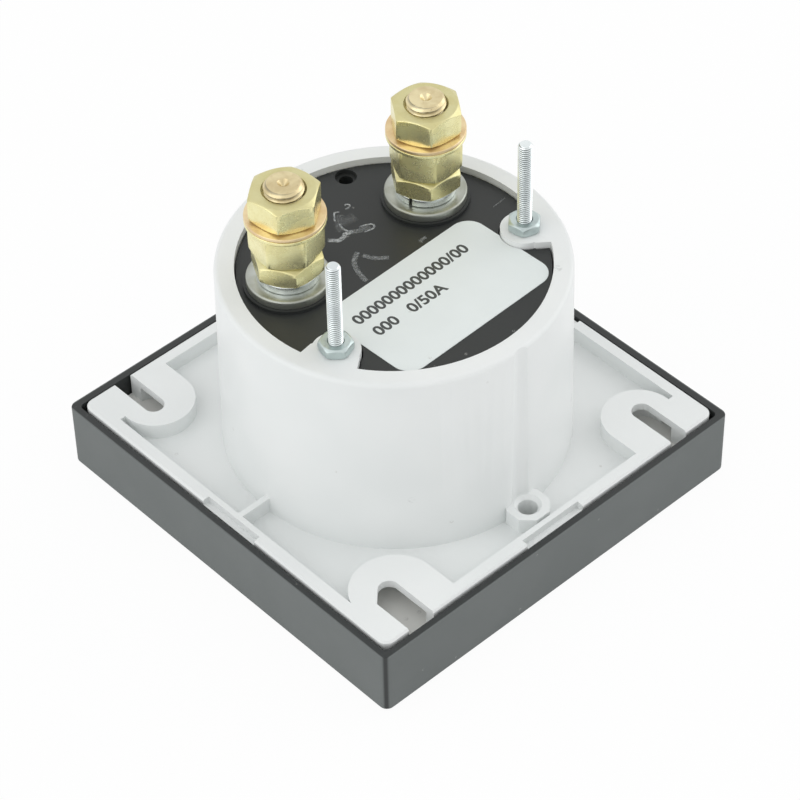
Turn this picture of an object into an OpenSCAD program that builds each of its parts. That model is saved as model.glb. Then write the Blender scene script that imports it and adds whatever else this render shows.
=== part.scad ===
/* [Bezel] */
// Side of the square bezel
bezel_w = 96; // [94:0.5:104]
// Depth of the bezel from its front face to its rear rim
bezel_depth = 16; // [15.8:0.1:16.4]
// Wall of the rear rim
rim_wall = 1.7; // [1.3:0.1:2.2]
// Radius of the four upright corners
bezel_corner_r = 1.8; // [1.2:0.1:3]
// Thickness of the bezel's front wall
front_wall = 2.2; // [1.8:0.1:2.3]
// Width of the frame beside and above the window
frame_side = 7; // [6:0.5:9]
// Distance of the window's lower edge below the middle of the dial
window_low = 15; // [13:0.5:16]
// Bevel round the front edge and the window
front_bevel = 1; // [0.5:0.1:1.1]
// Width of the ledge that the dial plate rests on
ledge_w = 1.8; // [1.2:0.1:2.5]
// Thickness of the clear window
window_t = 1.5; // [1:0.1:1.8]
// Gap between the window and the bezel round it
window_clear = 0.2; // [0.1:0.05:0.4]
// Length of each latch barb inside the rim
latch_len = 10; // [6:0.5:13]
// Reach of each latch barb
latch_reach = 0.9; // [0.7:0.1:1.1]

/* [Base moulding] */
// Distance from the bezel's front face to the dial plate's front face
dial_depth = 10.4; // [10.2:0.1:10.6]
// Thickness of the dial plate
dial_t = 0.6; // [0.4:0.1:0.8]
// Gap between the base moulding and the bezel's rim
base_clear = 0.5; // [0.3:0.1:0.7]
// Thickness of the base floor
floor_t = 2; // [1.8:0.1:2.4]
// Height of the base border above its front face
border_h = 5.7; // [5.4:0.1:6.2]
// Width of the raised border
border_w = 2.7; // [2.4:0.1:3.2]
// Radius of the base corners
base_corner_r = 2.2; // [1.5:0.1:3]
// Bevel of the border's outer edge
base_bevel = 0.4; // [0.2:0.1:0.6]
// Width of the open fixing slots
slot_w = 4.4; // [4.2:0.1:5]
// Distance of the slots' middle from the base's side edges
slot_edge = 10.45; // [10:0.05:11]
// Length of the slots from their inner end to the base edge
slot_len = 12.5; // [11:0.1:13]
// Extra width of the keyed slot
key_w = 2.1; // [1.5:0.1:2.6]
// Radius of the raised pad round each slot
pad_r = 8; // [7.6:0.1:8.4]
// Radius of the pad round the keyed slot
key_pad_r = 9.2; // [9:0.1:9.5]
// Thickness of the pad's skin and walls
pad_skin = 1.8; // [1.4:0.1:2.2]
// Length of the relief notch at each latch
notch_len = 15.4; // [14:0.2:18]
// Width of the relief notch
notch_w = 1.5; // [1.2:0.1:1.7]
// Depth of the relief notch
notch_depth = 1.7; // [1.4:0.1:1.8]
// Thickness of the two short ribs beside the barrel
rib_t = 1.3; // [1:0.1:2]
// Width across flats of the case screw boss
boss_af = 8.6; // [8:0.1:9]
// Radius of the case screw hole
boss_hole_r = 2.05; // [1.8:0.05:2.3]
// Radius of the case screw's countersink
boss_sink_r = 2.8; // [2.5:0.1:3]
// Distance of the case screw hole from the barrel's axis
boss_dist = 38.1; // [38:0.05:38.4]
// Radius of the driver groove down the barrel
groove_r = 3.2; // [2.9:0.1:3.4]

/* [Barrel] */
// Height of the barrel above the base floor
barrel_h = 44.4; // [43:0.2:46]
// Radius of the pocket that holds the terminal plate
ring_bore_r = 31.4; // [31.2:0.1:31.8]
// Width of the ring's flat top
ring_w = 4.05; // [3.8:0.05:4.3]
// Growth of the barrel's outer radius from ring to floor
barrel_draft = 0.6; // [0.3:0.1:0.9]
// Radius of the ring's outer top edge
barrel_edge_r = 1; // [0.5:0.1:1.5]
// Wall of the barrel below the ring
barrel_wall = 2.45; // [2.2:0.05:2.6]
// Width of the shoulder under the terminal plate
shoulder_w = 2.4; // [1.8:0.1:2.6]
// Thickness of the shoulder under the terminal plate
shoulder_t = 2.5; // [2:0.1:4]

/* [Terminal plate] */
// Distance from the ring's top down to the terminal plate
plate_drop = 1.4; // [1:0.1:1.8]
// Thickness of the terminal plate
plate_t = 5; // [4.5:0.1:5.4]
// Gap between the terminal plate and the moulding round it
plate_clear = 0.3; // [0.2:0.05:0.5]
// Radius of the raised seats under the terminals
seat_r = 9; // [8.7:0.1:9.3]
// Height of the raised seats
seat_h = 0.75; // [0.5:0.05:1]
// Distance of the adjusting hole from the middle, along X
adjust_x = 11.2; // [10:0.1:12]
// Distance of the adjusting hole from the middle, along Y
adjust_y = 26.3; // [25.5:0.1:26.6]
// Radius of the adjusting hole's counterbore
adjust_r = 2.25; // [2:0.05:2.6]
// Depth of the adjusting hole's counterbore
adjust_depth = 1; // [0.5:0.1:2]
// Radius of the adjusting hole
adjust_hole_r = 1.45; // [1:0.05:1.7]
// Width of the rating label
label_w = 41; // [38:0.2:42]
// Height of the rating label
label_h = 24.3; // [20:0.1:24.4]
// Radius of the label's corners
label_r = 4; // [3:0.2:5]
// Thickness of the rating label
label_t = 0.12; // [0.1:0.02:0.2]

/* [Terminals] */
// Distance between the two terminals
terminal_pitch = 36.8; // [36:0.1:37.4]
// Distance of the terminals above the barrel's axis
terminal_y = 10.4; // [10.2:0.1:10.8]
// Radius of the terminal studs
stud_r = 4; // [3.9:0.05:4.1]
// Height of the terminal studs above their seats
stud_stand = 25.25; // [24.8:0.05:27]
// Width across flats of the terminal nuts
nut_af = 13; // [12.6:0.1:13.4]
// Radial gap between the studs and what is threaded on them
stud_clear = 0.04; // [0.03:0.01:0.08]
// Thickness of the plain washers
plain_t = 1.85; // [1.4:0.05:2]
// Radius of the plain washers
plain_r = 8.4; // [8:0.05:8.4]
// Radial play of the plain washers on their studs
plain_clear = 0.6; // [0.55:0.05:0.7]
// Thickness of the spring washers
spring_t = 2; // [1.6:0.05:2.2]
// Radius of the spring washers
spring_r = 6.3; // [6.1:0.05:6.6]
// Width of the spring washer's split
split_w = 0.7; // [0.4:0.1:1.2]
// Thickness of the lock nuts
lock_nut_t = 4.5; // [4:0.1:4.8]
// Thickness of the spacer nuts
spacer_nut_t = 7.5; // [7:0.1:7.8]
// Thickness of each lug washer
lug_washer_t = 0.9; // [0.7:0.05:1]
// Radius of the lug washers
lug_washer_r = 8.05; // [7.8:0.05:8.3]
// Thickness of the terminal nuts
terminal_nut_t = 6; // [5.5:0.1:6.3]
// Thickness of the stud heads inside
stud_head_t = 4; // [3:0.1:4.5]
// Thickness of the shunt strip
shunt_t = 1.5; // [1:0.1:1.8]
// Width of the shunt strip between its ends
shunt_w = 8; // [6:0.5:10]

/* [Fixing studs] */
// Distance between the two fixing studs
fixing_pitch = 50.4; // [49.8:0.1:50.6]
// Distance of the fixing studs below the barrel's axis
fixing_y = 10.9; // [10.8:0.1:11.1]
// Radius of the fixing studs
fixing_r = 1.5; // [1.4:0.05:1.6]
// Height of the fixing studs above the ring
fixing_stand = 21.5; // [18:0.1:23]
// Width across flats of the fixing nuts
fixing_af = 6.2; // [5.4:0.1:6.4]
// Thickness of the fixing nuts
fixing_nut_t = 2.3; // [1.8:0.1:2.6]
// Length of each fixing stud held in its lobe
fixing_held = 14; // [10:0.5:16]
// Radius of the lobe round each fixing stud
lobe_r = 4.85; // [4.6:0.05:5]
// Flare of the lobe's flanks
lobe_flare = 15; // [10:1:18]

/* [Movement] */
// Distance of the pointer's axis below the middle of the dial
axis_y = 20; // [19.8:0.1:20.2]
// Radius of the magnet core
core_r = 6; // [5.8:0.05:6.1]
// Length of the magnet core
core_len = 14; // [13:0.1:14.4]
// Radial air gap between the core and the yoke ring
air_gap = 2.6; // [2.6:0.05:2.8]
// Wall of the yoke ring
yoke_wall = 1.9; // [1.6:0.05:1.9]
// Length of the yoke ring
yoke_len = 22; // [21.8:0.1:22.4]
// Clearance between the moving coil and the core
coil_clear = 0.65; // [0.6:0.05:0.7]
// Thickness of the coil former
former_t = 0.4; // [0.3:0.05:0.4]
// Depth of the winding on the former
winding_t = 0.75; // [0.6:0.05:0.75]
// Width of the winding
winding_w = 3.2; // [2.6:0.1:3.2]
// Radius of the staff pivots
staff_r = 0.6; // [0.5:0.05:0.7]
// Running gap of pivots, lever and zero screw
run_clear = 0.05; // [0.03:0.01:0.07]
// Radius of the two jewel screws
jewel_r = 1.5; // [1.4:0.05:1.6]
// Radius at which each hairspring's outer end is held
hair_r = 4.3; // [4.1:0.1:4.5]
// Thickness of the hairspring strip
hair_t = 0.22; // [0.16:0.02:0.26]
// Height of the hairspring strip
hair_h = 0.6; // [0.4:0.05:0.6]
// Thickness of the front and rear bridges
bridge_t = 1.2; // [1:0.1:1.2]
// Width of the front and rear bridges
bridge_w = 5; // [4.4:0.2:5.4]
// Distance of the bridge pillars from the pointer's axis
pillar_x = 12.5; // [12.4:0.1:13]
// Radius of the bridge pillars
pillar_r = 1.5; // [1.4:0.1:1.6]

/* [Pointer and zero adjuster] */
// Length of the pointer from its axis to its tip
pointer_len = 50; // [44:0.5:52]
// Full-scale swing of the pointer
full_swing = 90; // [80:5:90]
// Width of the pointer at its hub
pointer_w = 1.6; // [1.2:0.1:2]
// Thickness of the pointer
pointer_t = 0.3; // [0.2:0.05:0.4]
// Gap between the bezel's front wall and the front jewel screw
jewel_clear = 0.4; // [0.3:0.05:0.5]
// Length of the balance arms
balance_len = 8; // [7:0.5:9]
// Distance of the zero screw below the pointer's axis
zero_dist = 14; // [13:0.1:14.5]
// Radius of the zero screw's head
zero_head_r = 4; // [3.5:0.1:4.5]
// Thickness of the zero screw's head
zero_head_t = 0.8; // [0.6:0.05:0.9]
// Radius of the zero screw's shaft
zero_shaft_r = 2.5; // [2.2:0.1:2.7]
// Offset of the eccentric pin from the zero screw's axis
pin_offset = 1.2; // [1:0.05:1.3]
// Radius of the eccentric pin
pin_r = 0.8; // [0.6:0.05:0.9]
// Gap between the eccentric pin and the fork
fork_clear = 0.15; // [0.12:0.01:0.25]

/* [Hidden] */
$fn = 64;
eps = 0.01;
same_gap = 0.02; // gap between round faces that hold each other

black = [0.11, 0.11, 0.11];
white = [0.91, 0.92, 0.92];
paper = [0.93, 0.95, 0.95];
clear = [0.85, 0.9, 0.92, 0.35];
brass_yellow = [0.84, 0.78, 0.55];
copper = [0.75, 0.47, 0.32];
zinc = [0.75, 0.78, 0.8];
steel = [0.55, 0.56, 0.58];
magnet_grey = [0.35, 0.35, 0.36];
alloy = [0.78, 0.78, 0.76];

half = bezel_w / 2;
rim_in = half - rim_wall;
ledge_in = rim_in - ledge_w;
win_x = half - frame_side;
win_y0 = -window_low;
win_lap = 2; // how far the window laps behind the lower strip
plate_half = rim_in - 0.3;
dial_back = dial_depth + dial_t;
base_half = rim_in - base_clear;
base_in = base_half - border_w;
floor_z = dial_back + floor_t;
border_z = dial_back + border_h;
ring_z = floor_z + barrel_h;
barrel_r = ring_bore_r + ring_w;
barrel_foot_r = barrel_r + barrel_draft;
bore_r = barrel_r - barrel_wall;
face_z = ring_z - plate_drop;
seat_z = face_z + seat_h;
plate_under = face_z - plate_t;
plate_r = ring_bore_r - plate_clear;
shoulder_r = ring_bore_r - shoulder_w;

slot_x = base_half - slot_edge;
pad_x = slot_x - 1.55;
pad_y = base_half - 9.4;
pad_lead = 0.5; // how far the channel beside a pad runs past its round end
key_pad_x = slot_x - 0.85;
slot_end_y = base_half - slot_len + slot_w / 2;
barb_z = floor_z + 0.2;
barb_h = 1.4;
groove_top = barb_z + barb_h;
lip_t = 0.4;
lip_z = border_z - notch_depth + 0.9;
rib_y = -0.5;

spring_z = seat_z + plain_t;
lock_z = spring_z + spring_t;
spacer_z = lock_z + lock_nut_t;
lug_z = spacer_z + spacer_nut_t;
nut_z = lug_z + 2 * lug_washer_t;
stud_top = seat_z + stud_stand;
shunt_z = plate_under - shunt_t;
head_z = shunt_z - stud_head_t;
thread_r = stud_r + stud_clear;
terminal_x = terminal_pitch / 2;
fixing_x = fixing_pitch / 2;
fixing_ang = atan2(fixing_y, fixing_x);
label_x = 0.6;
label_y = -12.35;
label_turn = 2;
label_clear = 0.15;

frame_t = 2;
frame_z = floor_z;
yoke_z = frame_z + frame_t;
yoke_top = yoke_z + yoke_len;
core_z = yoke_z + (yoke_len - core_len) / 2;
yoke_in = core_r + air_gap;
yoke_out = yoke_in + yoke_wall;
spacer_w = 3;
spacer_h = 6;
spacer_in = core_r - 0.35;
spacer_out = yoke_in + 0.3;
spacer_mid = core_z + core_len / 2;
fixing_screw_r = 1.5;
fixing_head_t = 1.8;
fixing_head_r = 2.8;
fixing_screw_in = 10;
driver_w = 0.8;
bridge_screw_r = 0.9;
bridge_head_r = 1.9;
shunt_end_r = 5.8;
wire_x = 9;
wire_end_x = 6;
wire_foot_x = 17.5;
wire_foot_y = 13.6;

coil_in = core_r + coil_clear;
coil_bed = coil_in + former_t;
coil_out = coil_bed + winding_t;
bed_z0 = core_z - coil_clear - former_t;
bed_z1 = core_z + core_len + coil_clear + former_t;
coil_z0 = bed_z0 - winding_t;
coil_z1 = bed_z1 + winding_t;
former_w = winding_w + 2 * former_t;
rest_ang = 90 - full_swing / 2;

lever_t = 0.6;
lever_gap = 0.1;
jewel_nut_t = 0.9;
jewel_af = 4.4;
jewel_z0 = front_wall + jewel_clear;
front_nut_z = jewel_z0 + 0.3;
lever_z = front_nut_z + jewel_nut_t + lever_gap;
front_bridge_z = lever_z + lever_t + lever_gap;
front_hair_z = front_bridge_z + bridge_t + 0.6;
pointer_z = front_hair_z + hair_h + 0.7;
jewel_z1 = front_hair_z - 0.2;
jewel_pit = 1;
pivot_foot_t = 0.6;
pivot_gap = 0.2;
rear_hair_z = coil_z1 + 0.6;
rear_bridge_z = yoke_top;
rear_nut_z = rear_bridge_z + bridge_t;
rear_jewel_z0 = rear_bridge_z - 0.4;
rear_jewel_z1 = rear_nut_z + jewel_nut_t + 1.2;
collet_in = staff_r + run_clear;
collet_out = collet_in + 0.6;
hair_half_turns = 7;
hair_r0 = collet_out + 0.4;
hair_pitch = (hair_r - hair_r0) / 3;
tab_in = hair_r + hair_t / 2 + same_gap;
tab_t = 0.6;
tab_w = 1.6;

zero_y = -axis_y - zero_dist;
head_recess = 1;
zero_collar_r = 3.2;
zero_slot_w = 1.2;
fork_half = pin_r + fork_clear;
lever_ring_r = jewel_r + run_clear + 1.5;
lever_w = 4;
fork_in = zero_dist - pin_offset - pin_r - 0.8;
lever_end = zero_dist + 1.3;

module round_rect(w, l, r) {
    square([w, l - 2 * r], center = true);
    square([w - 2 * r, l], center = true);
    for (sx = [-1, 1])
        for (sy = [-1, 1])
            translate([sx * (w / 2 - r), sy * (l / 2 - r)]) circle(r);
}

// square block with bevelled lower edges, its lower face at z = 0
module bevel_block(w, h, r, b) {
    c = w / 2 - r;
    for (sx = [-1, 1])
        for (sy = [-1, 1])
            translate([sx * c, sy * c, 0])
                rotate_extrude() polygon([[0, 0], [r - b, 0], [r, b], [r, h], [0, h]]);
    for (turn = [0, 90])
        rotate([90, 0, turn]) translate([0, 0, -c]) linear_extrude(height = 2 * c)
            polygon([[b - w / 2, 0], [w / 2 - b, 0], [w / 2, b], [w / 2, h], [-w / 2, h], [-w / 2, b]]);
}

// hexagon with both ends chamfered at 30 degrees
module hex_blank(af, h, low, high) {
    rc = af / 2 / cos(30);
    drop = (rc - af / 2 + 0.1) * tan(30);
    intersection() {
        rotate([0, 0, 30]) cylinder(r = rc, h = h, $fn = 6);
        rotate_extrude() polygon([
            [0, 0], [low ? af / 2 - 0.1 : rc + 1, 0], [rc + (low ? 0 : 1), low ? drop : 0],
            [rc + (high ? 0 : 1), high ? h - drop : h], [high ? af / 2 - 0.1 : rc + 1, h], [0, h]
        ]);
    }
}

module nut(af, h, r, turn, low, high) {
    rotate([0, 0, turn]) difference() {
        hex_blank(af, h, low, high);
        translate([0, 0, -1]) cylinder(r = r, h = h + 2);
    }
}

module pin(r, z0, z1) {
    translate([0, 0, z0]) cylinder(r = r, h = z1 - z0);
}

module at_terminal(side) {
    translate([side * terminal_x, terminal_y, 0]) children();
}

module at_fixing(side) {
    translate([side * fixing_x, -fixing_y, 0]) children();
}

module at_axis() {
    translate([0, -axis_y, 0]) children();
}

// outline of one fixing lobe, grown by gap
module lobe_outline(side, gap) {
    r = lobe_r + gap;
    x1 = 9;
    y0 = (r - 0.04) / cos(lobe_flare);
    y1 = y0 + x1 * tan(lobe_flare);
    translate([side * fixing_x, -fixing_y]) rotate(side < 0 ? 180 + fixing_ang : -fixing_ang) {
        circle(r);
        polygon([[0, y0 - 0.4], [0.5, y0 + 0.5 * tan(lobe_flare)], [x1, y1], [x1, -y1],
            [0.5, -y0 - 0.5 * tan(lobe_flare)], [0, 0.4 - y0]]);
    }
}

module window_cut() {
    b = front_bevel;
    cy = (win_x + win_y0) / 2;
    hy = (win_x - win_y0) / 2;
    intersection() {
        rotate([90, 0, 0]) translate([0, 0, -half]) linear_extrude(height = 2 * half)
            polygon([[-win_x - b - eps, -eps], [win_x + b + eps, -eps], [win_x, b],
                [win_x, front_wall + eps], [-win_x, front_wall + eps], [-win_x, b]]);
        translate([0, cy, 0]) rotate([90, 0, 90]) translate([0, 0, -half]) linear_extrude(height = 2 * half)
            polygon([[-hy - b - eps, -eps], [hy + b + eps, -eps], [hy, b],
                [hy, front_wall + eps], [-hy, front_wall + eps], [-hy, b]]);
    }
}

module bezel_frame() color(black) {
    difference() {
        bevel_block(bezel_w, bezel_depth, bezel_corner_r, front_bevel);
        translate([0, 0, front_wall]) linear_extrude(height = bezel_depth)
            square(2 * ledge_in, center = true);
        translate([0, 0, dial_depth]) linear_extrude(height = bezel_depth)
            round_rect(2 * rim_in, 2 * rim_in, 1);
        window_cut();
        translate([0, zero_y, 0]) pin(zero_shaft_r + run_clear, -eps, front_wall + eps);
        translate([0, zero_y, 0]) pin(zero_head_r + 0.3, -eps, head_recess);
    }
    for (turn = [0:90:270])
        rotate([90, 0, turn]) translate([0, 0, -latch_len / 2]) linear_extrude(height = latch_len)
            polygon([[rim_in + 0.3, barb_z], [rim_in - latch_reach, barb_z],
                [rim_in - latch_reach, barb_z + 0.4], [rim_in + 0.3, barb_z + barb_h]]);
}

module front_window() color(clear) {
    w = ledge_in - window_clear;
    translate([-w, win_y0 - win_lap, front_wall]) cube([2 * w, w - win_y0 + win_lap, window_t]);
}

dial_screw_x = ledge_in - 6;
dial_screw_y = -9;
dial_screw_r = 0.9;
dial_head_r = 1.7;

module dial_plate() color(paper) {
    difference() {
        translate([0, 0, dial_depth]) linear_extrude(height = dial_t)
            round_rect(2 * plate_half, 2 * plate_half, 1);
        at_axis() pin(3, dial_depth - 1, dial_back + 1);
        for (s = [-1, 1]) {
            at_axis() translate([s * pillar_x, 0, 0]) pin(pillar_r + 0.5, dial_depth - 1, dial_back + 1);
            translate([s * dial_screw_x, dial_screw_y, 0])
                pin(dial_screw_r + same_gap, dial_depth - 1, dial_back + 1);
        }
    }
}

module dial_screws() color(steel) {
    for (s = [-1, 1])
        translate([s * dial_screw_x, dial_screw_y, 0]) difference() {
            union() {
                pin(dial_screw_r, dial_depth - 0.4, floor_z - 0.4);
                pin(dial_head_r, dial_depth - 0.9, dial_depth);
            }
            translate([-dial_head_r - 1, -0.2, dial_depth - 1.4])
                cube([2 * dial_head_r + 2, 0.4, 0.9]);
        }
}

stop_dist = 20;
stop_r = 0.5;
stop_spare = 10;

module pointer_stops() color(steel) {
    at_axis() for (a = [rest_ang - stop_spare, 180 - rest_ang + stop_spare])
        rotate([0, 0, a]) translate([stop_dist, 0, 0]) pin(stop_r, pointer_z - 0.7, dial_depth);
}

// raised pad of the slot at corner (sx, sy), shrunk by inset
module pad_outline(sx, sy, inset) {
    keyed = sx < 0 && sy < 0;
    r = (keyed ? key_pad_r : pad_r) - inset;
    cx = keyed ? key_pad_x : pad_x;
    reach = base_in + 0.5 - inset;
    mirror([sx < 0 ? 1 : 0, 0]) mirror([0, sy < 0 ? 1 : 0]) {
        translate([cx, pad_y]) circle(r);
        translate([cx - r, pad_y]) square([r, reach - pad_y]);
        translate([cx - 1, pad_y + pad_lead]) square([reach - cx + 1, reach - pad_y - pad_lead]);
    }
}

module slot_outline(sx, sy) {
    keyed = sx < 0 && sy < 0;
    r = slot_w / 2;
    k = r * sin(45);
    mirror([sx < 0 ? 1 : 0, 0]) mirror([0, sy < 0 ? 1 : 0]) {
        translate([slot_x, slot_end_y]) circle(r);
        translate([slot_x - r, slot_end_y]) square([slot_w, slot_len]);
        if (keyed)
            translate([slot_x, slot_end_y]) polygon([
                [0, 0], [k, -k], [r + key_w, r + key_w - 2 * k], [r + key_w, slot_len], [0, slot_len]
            ]);
    }
}

module notch(turn) {
    rotate([0, 0, turn]) {
        difference() {
            translate([base_half - notch_w, -notch_len / 2, border_z - notch_depth])
                cube([notch_w + 1, notch_len, notch_depth + 1]);
            translate([base_half - lip_t, -notch_len / 2, 0]) cube([lip_t, notch_len, lip_z]);
        }
        translate([base_half - 0.8, -notch_len / 2, floor_z]) cube([2, notch_len, groove_top - floor_z]);
    }
}

module barrel_outer() {
    rotate_extrude($fn = 96) {
        polygon([
            [0, dial_back], [barrel_foot_r, dial_back], [barrel_foot_r, floor_z],
            [barrel_r, ring_z - barrel_edge_r], [0, ring_z - barrel_edge_r]
        ]);
        translate([0, ring_z - 2 * barrel_edge_r])
            square([barrel_r - barrel_edge_r, 2 * barrel_edge_r]);
        translate([barrel_r - barrel_edge_r, ring_z - barrel_edge_r]) circle(barrel_edge_r);
    }
}

module base_moulding() color(white) {
    difference() {
        union() {
            difference() {
                union() {
                    difference() {
                        translate([0, 0, border_z]) mirror([0, 0, 1])
                            bevel_block(2 * base_half, border_h, base_corner_r, base_bevel);
                        translate([0, 0, floor_z]) linear_extrude(height = border_h)
                            square(2 * base_in, center = true);
                    }
                    for (sx = [-1, 1])
                        for (sy = [-1, 1])
                            translate([0, 0, dial_back + eps]) linear_extrude(height = border_h - eps)
                                pad_outline(sx, sy, 0);
                    difference() {
                        barrel_outer();
                        translate([0, -boss_dist, dial_back - 1]) cylinder(r = groove_r, h = barrel_h + 6);
                    }
                    for (s = [-1, 1])
                        translate([s < 0 ? -base_in - 1 : barrel_r - 1, rib_y - rib_t / 2, floor_z - eps])
                            cube([base_in - barrel_r + 2, rib_t, border_z - floor_z + eps]);
                    translate([0, -boss_dist, dial_back + eps]) rotate([0, 0, 22.5])
                        cylinder(r = boss_af / 2 / cos(22.5), h = border_h - eps, $fn = 8);
                }
                translate([0, 0, dial_back - 1])
                    cylinder(r = bore_r, h = plate_under - shoulder_t - dial_back + 1, $fn = 96);
                translate([0, 0, dial_back]) cylinder(r = shoulder_r, h = barrel_h, $fn = 96);
                translate([0, 0, plate_under])
                    cylinder(r = ring_bore_r, h = plate_t + plate_drop + 1, $fn = 96);
            }
            intersection() {
                translate([0, 0, yoke_z]) linear_extrude(height = ring_z - yoke_z) {
                    lobe_outline(-1, 0);
                    lobe_outline(1, 0);
                }
                cylinder(r = bore_r + 1, h = 2 * ring_z, $fn = 96);
            }
        }
        for (sx = [-1, 1])
            for (sy = [-1, 1]) {
                translate([0, 0, dial_back - 1]) linear_extrude(height = border_h - pad_skin + 1)
                    pad_outline(sx, sy, pad_skin);
                translate([0, 0, dial_back - 1]) linear_extrude(height = border_h + 2)
                    slot_outline(sx, sy);
            }
        for (turn = [0:90:270]) notch(turn);
        translate([0, -boss_dist, 0]) pin(boss_hole_r, dial_back - 1, border_z + 1);
        translate([0, -boss_dist, border_z - 0.8]) rotate_extrude()
            polygon([[0, 0], [boss_hole_r, 0], [boss_sink_r, 0.8], [boss_sink_r, 2], [0, 2]]);
        for (s = [-1, 1]) {
            at_fixing(s) pin(fixing_r + same_gap, ring_z - fixing_held - 1, ring_z + 1);
            at_fixing(s) pin(fixing_screw_r + same_gap, yoke_z - 1, yoke_z + 11);
            translate([s * dial_screw_x, dial_screw_y, 0])
                pin(dial_screw_r + same_gap, dial_back - 1, floor_z - 0.3);
        }
    }
}

module terminal_plate() color(black) {
    difference() {
        union() {
            translate([0, 0, plate_under]) cylinder(r = plate_r, h = plate_t, $fn = 96);
            for (s = [-1, 1]) at_terminal(s) pin(seat_r, face_z - 1, seat_z);
        }
        translate([0, 0, plate_under - 1]) linear_extrude(height = plate_t + 2) {
            lobe_outline(-1, plate_clear);
            lobe_outline(1, plate_clear);
        }
        for (s = [-1, 1]) at_terminal(s) pin(thread_r, plate_under - 1, seat_z + 1);
        translate([adjust_x, adjust_y, 0]) pin(adjust_hole_r, plate_under - 1, face_z + 1);
        translate([adjust_x, adjust_y, 0]) pin(adjust_r, face_z - adjust_depth, face_z + 1);
    }
}

module rating_label() color(paper) {
    difference() {
        translate([label_x, label_y, face_z]) rotate([0, 0, label_turn])
            linear_extrude(height = label_t) round_rect(label_w, label_h, label_r);
        translate([0, 0, face_z - 1]) linear_extrude(height = 3) {
            lobe_outline(-1, label_clear);
            lobe_outline(1, label_clear);
        }
    }
}

module terminal_stud(side) color(brass_yellow) {
    at_terminal(side) {
        difference() {
            rotate_extrude() polygon([
                [0, head_z + 1], [stud_r, head_z + 1], [stud_r, stud_top - 0.8],
                [stud_r - 0.8, stud_top], [0, stud_top]
            ]);
            translate([0, 0, stud_top - 0.5]) cylinder(r1 = 0.2, r2 = 0.9, h = 0.5 + eps);
        }
        translate([0, 0, head_z]) hex_blank(nut_af, stud_head_t, true, false);
    }
}

left_slip = [-0.34, -0.365, 0];
right_slip = [0.5, -0.07, 0];

module plain_washer(side) color(zinc) {
    at_terminal(side) translate(side < 0 ? left_slip : right_slip) difference() {
        translate([0, 0, seat_z]) rotate_extrude() polygon([
            [0, 0], [plain_r, 0], [plain_r, plain_t - 0.3], [plain_r - 0.3, plain_t], [0, plain_t]
        ]);
        pin(stud_r + plain_clear, seat_z - 1, spring_z + 1);
    }
}

module spring_washer(side, turn) color(zinc) {
    at_terminal(side) difference() {
        pin(spring_r, spring_z, lock_z);
        pin(stud_r + 0.1, spring_z - 1, lock_z + 1);
        rotate([0, 0, turn]) translate([0, -split_w / 2, spring_z - 1])
            cube([spring_r + 1, split_w, spring_t + 2]);
    }
}

cam_turn = -132.1; // direction the nut corners are counted from
left_turns = [cam_turn + 14, cam_turn + 30, cam_turn - 10];
right_turns = [cam_turn + 7, cam_turn + 15, cam_turn + 7];

module lock_nut(side) color(brass_yellow) {
    at_terminal(side) translate([0, 0, lock_z])
        nut(nut_af, lock_nut_t, thread_r, (side < 0 ? left_turns : right_turns)[0] - 30, true, true);
}

module spacer_nut(side) color(brass_yellow) {
    at_terminal(side) translate([0, 0, spacer_z])
        nut(nut_af, spacer_nut_t, thread_r, (side < 0 ? left_turns : right_turns)[1] - 30, true, true);
}

module terminal_nut(side) color(brass_yellow) {
    at_terminal(side) translate([0, 0, nut_z])
        nut(nut_af, terminal_nut_t, thread_r, (side < 0 ? left_turns : right_turns)[2] - 30, true, true);
}

module lug_washer(side, z) color(brass_yellow) {
    at_terminal(side) difference() {
        translate([0, 0, z]) rotate_extrude() polygon([
            [0, 0], [lug_washer_r - 0.25, 0], [lug_washer_r, 0.25],
            [lug_washer_r, lug_washer_t], [0, lug_washer_t]
        ]);
        pin(stud_r + 0.2, z - 1, z + 2);
    }
}

module terminal_stud_left() terminal_stud(-1);
module terminal_stud_right() terminal_stud(1);
module plain_washer_left() plain_washer(-1);
module plain_washer_right() plain_washer(1);
module spring_washer_left() spring_washer(-1, 60);
module spring_washer_right() spring_washer(1, -162);
module lock_nut_left() lock_nut(-1);
module lock_nut_right() lock_nut(1);
module spacer_nut_left() spacer_nut(-1);
module spacer_nut_right() spacer_nut(1);
module lower_lug_washer_left() lug_washer(-1, lug_z);
module lower_lug_washer_right() lug_washer(1, lug_z);
module upper_lug_washer_left() lug_washer(-1, lug_z + lug_washer_t);
module upper_lug_washer_right() lug_washer(1, lug_z + lug_washer_t);
module terminal_nut_left() terminal_nut(-1);
module terminal_nut_right() terminal_nut(1);

module shunt_strip() color(copper) {
    translate([0, 0, shunt_z]) linear_extrude(height = shunt_t) difference() {
        union() {
            translate([0, terminal_y]) square([terminal_pitch, shunt_w], center = true);
            for (s = [-1, 1]) translate([s * terminal_x, terminal_y]) circle(shunt_end_r);
        }
        for (s = [-1, 1]) translate([s * terminal_x, terminal_y]) circle(thread_r);
    }
}

module fixing_stud(side) color(zinc) {
    at_fixing(side) rotate_extrude() polygon([
        [0, ring_z - fixing_held], [fixing_r, ring_z - fixing_held],
        [fixing_r, ring_z + fixing_stand - 0.4], [fixing_r - 0.4, ring_z + fixing_stand],
        [0, ring_z + fixing_stand]
    ]);
}

module fixing_nut(side, turn) color(zinc) {
    at_fixing(side) translate([0, 0, ring_z])
        nut(fixing_af, fixing_nut_t, fixing_r + same_gap, turn, true, true);
}

module fixing_stud_left() fixing_stud(-1);
module fixing_stud_right() fixing_stud(1);
module fixing_nut_left() fixing_nut(-1, cam_turn);
module fixing_nut_right() fixing_nut(1, cam_turn - 30 - 6);

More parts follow.
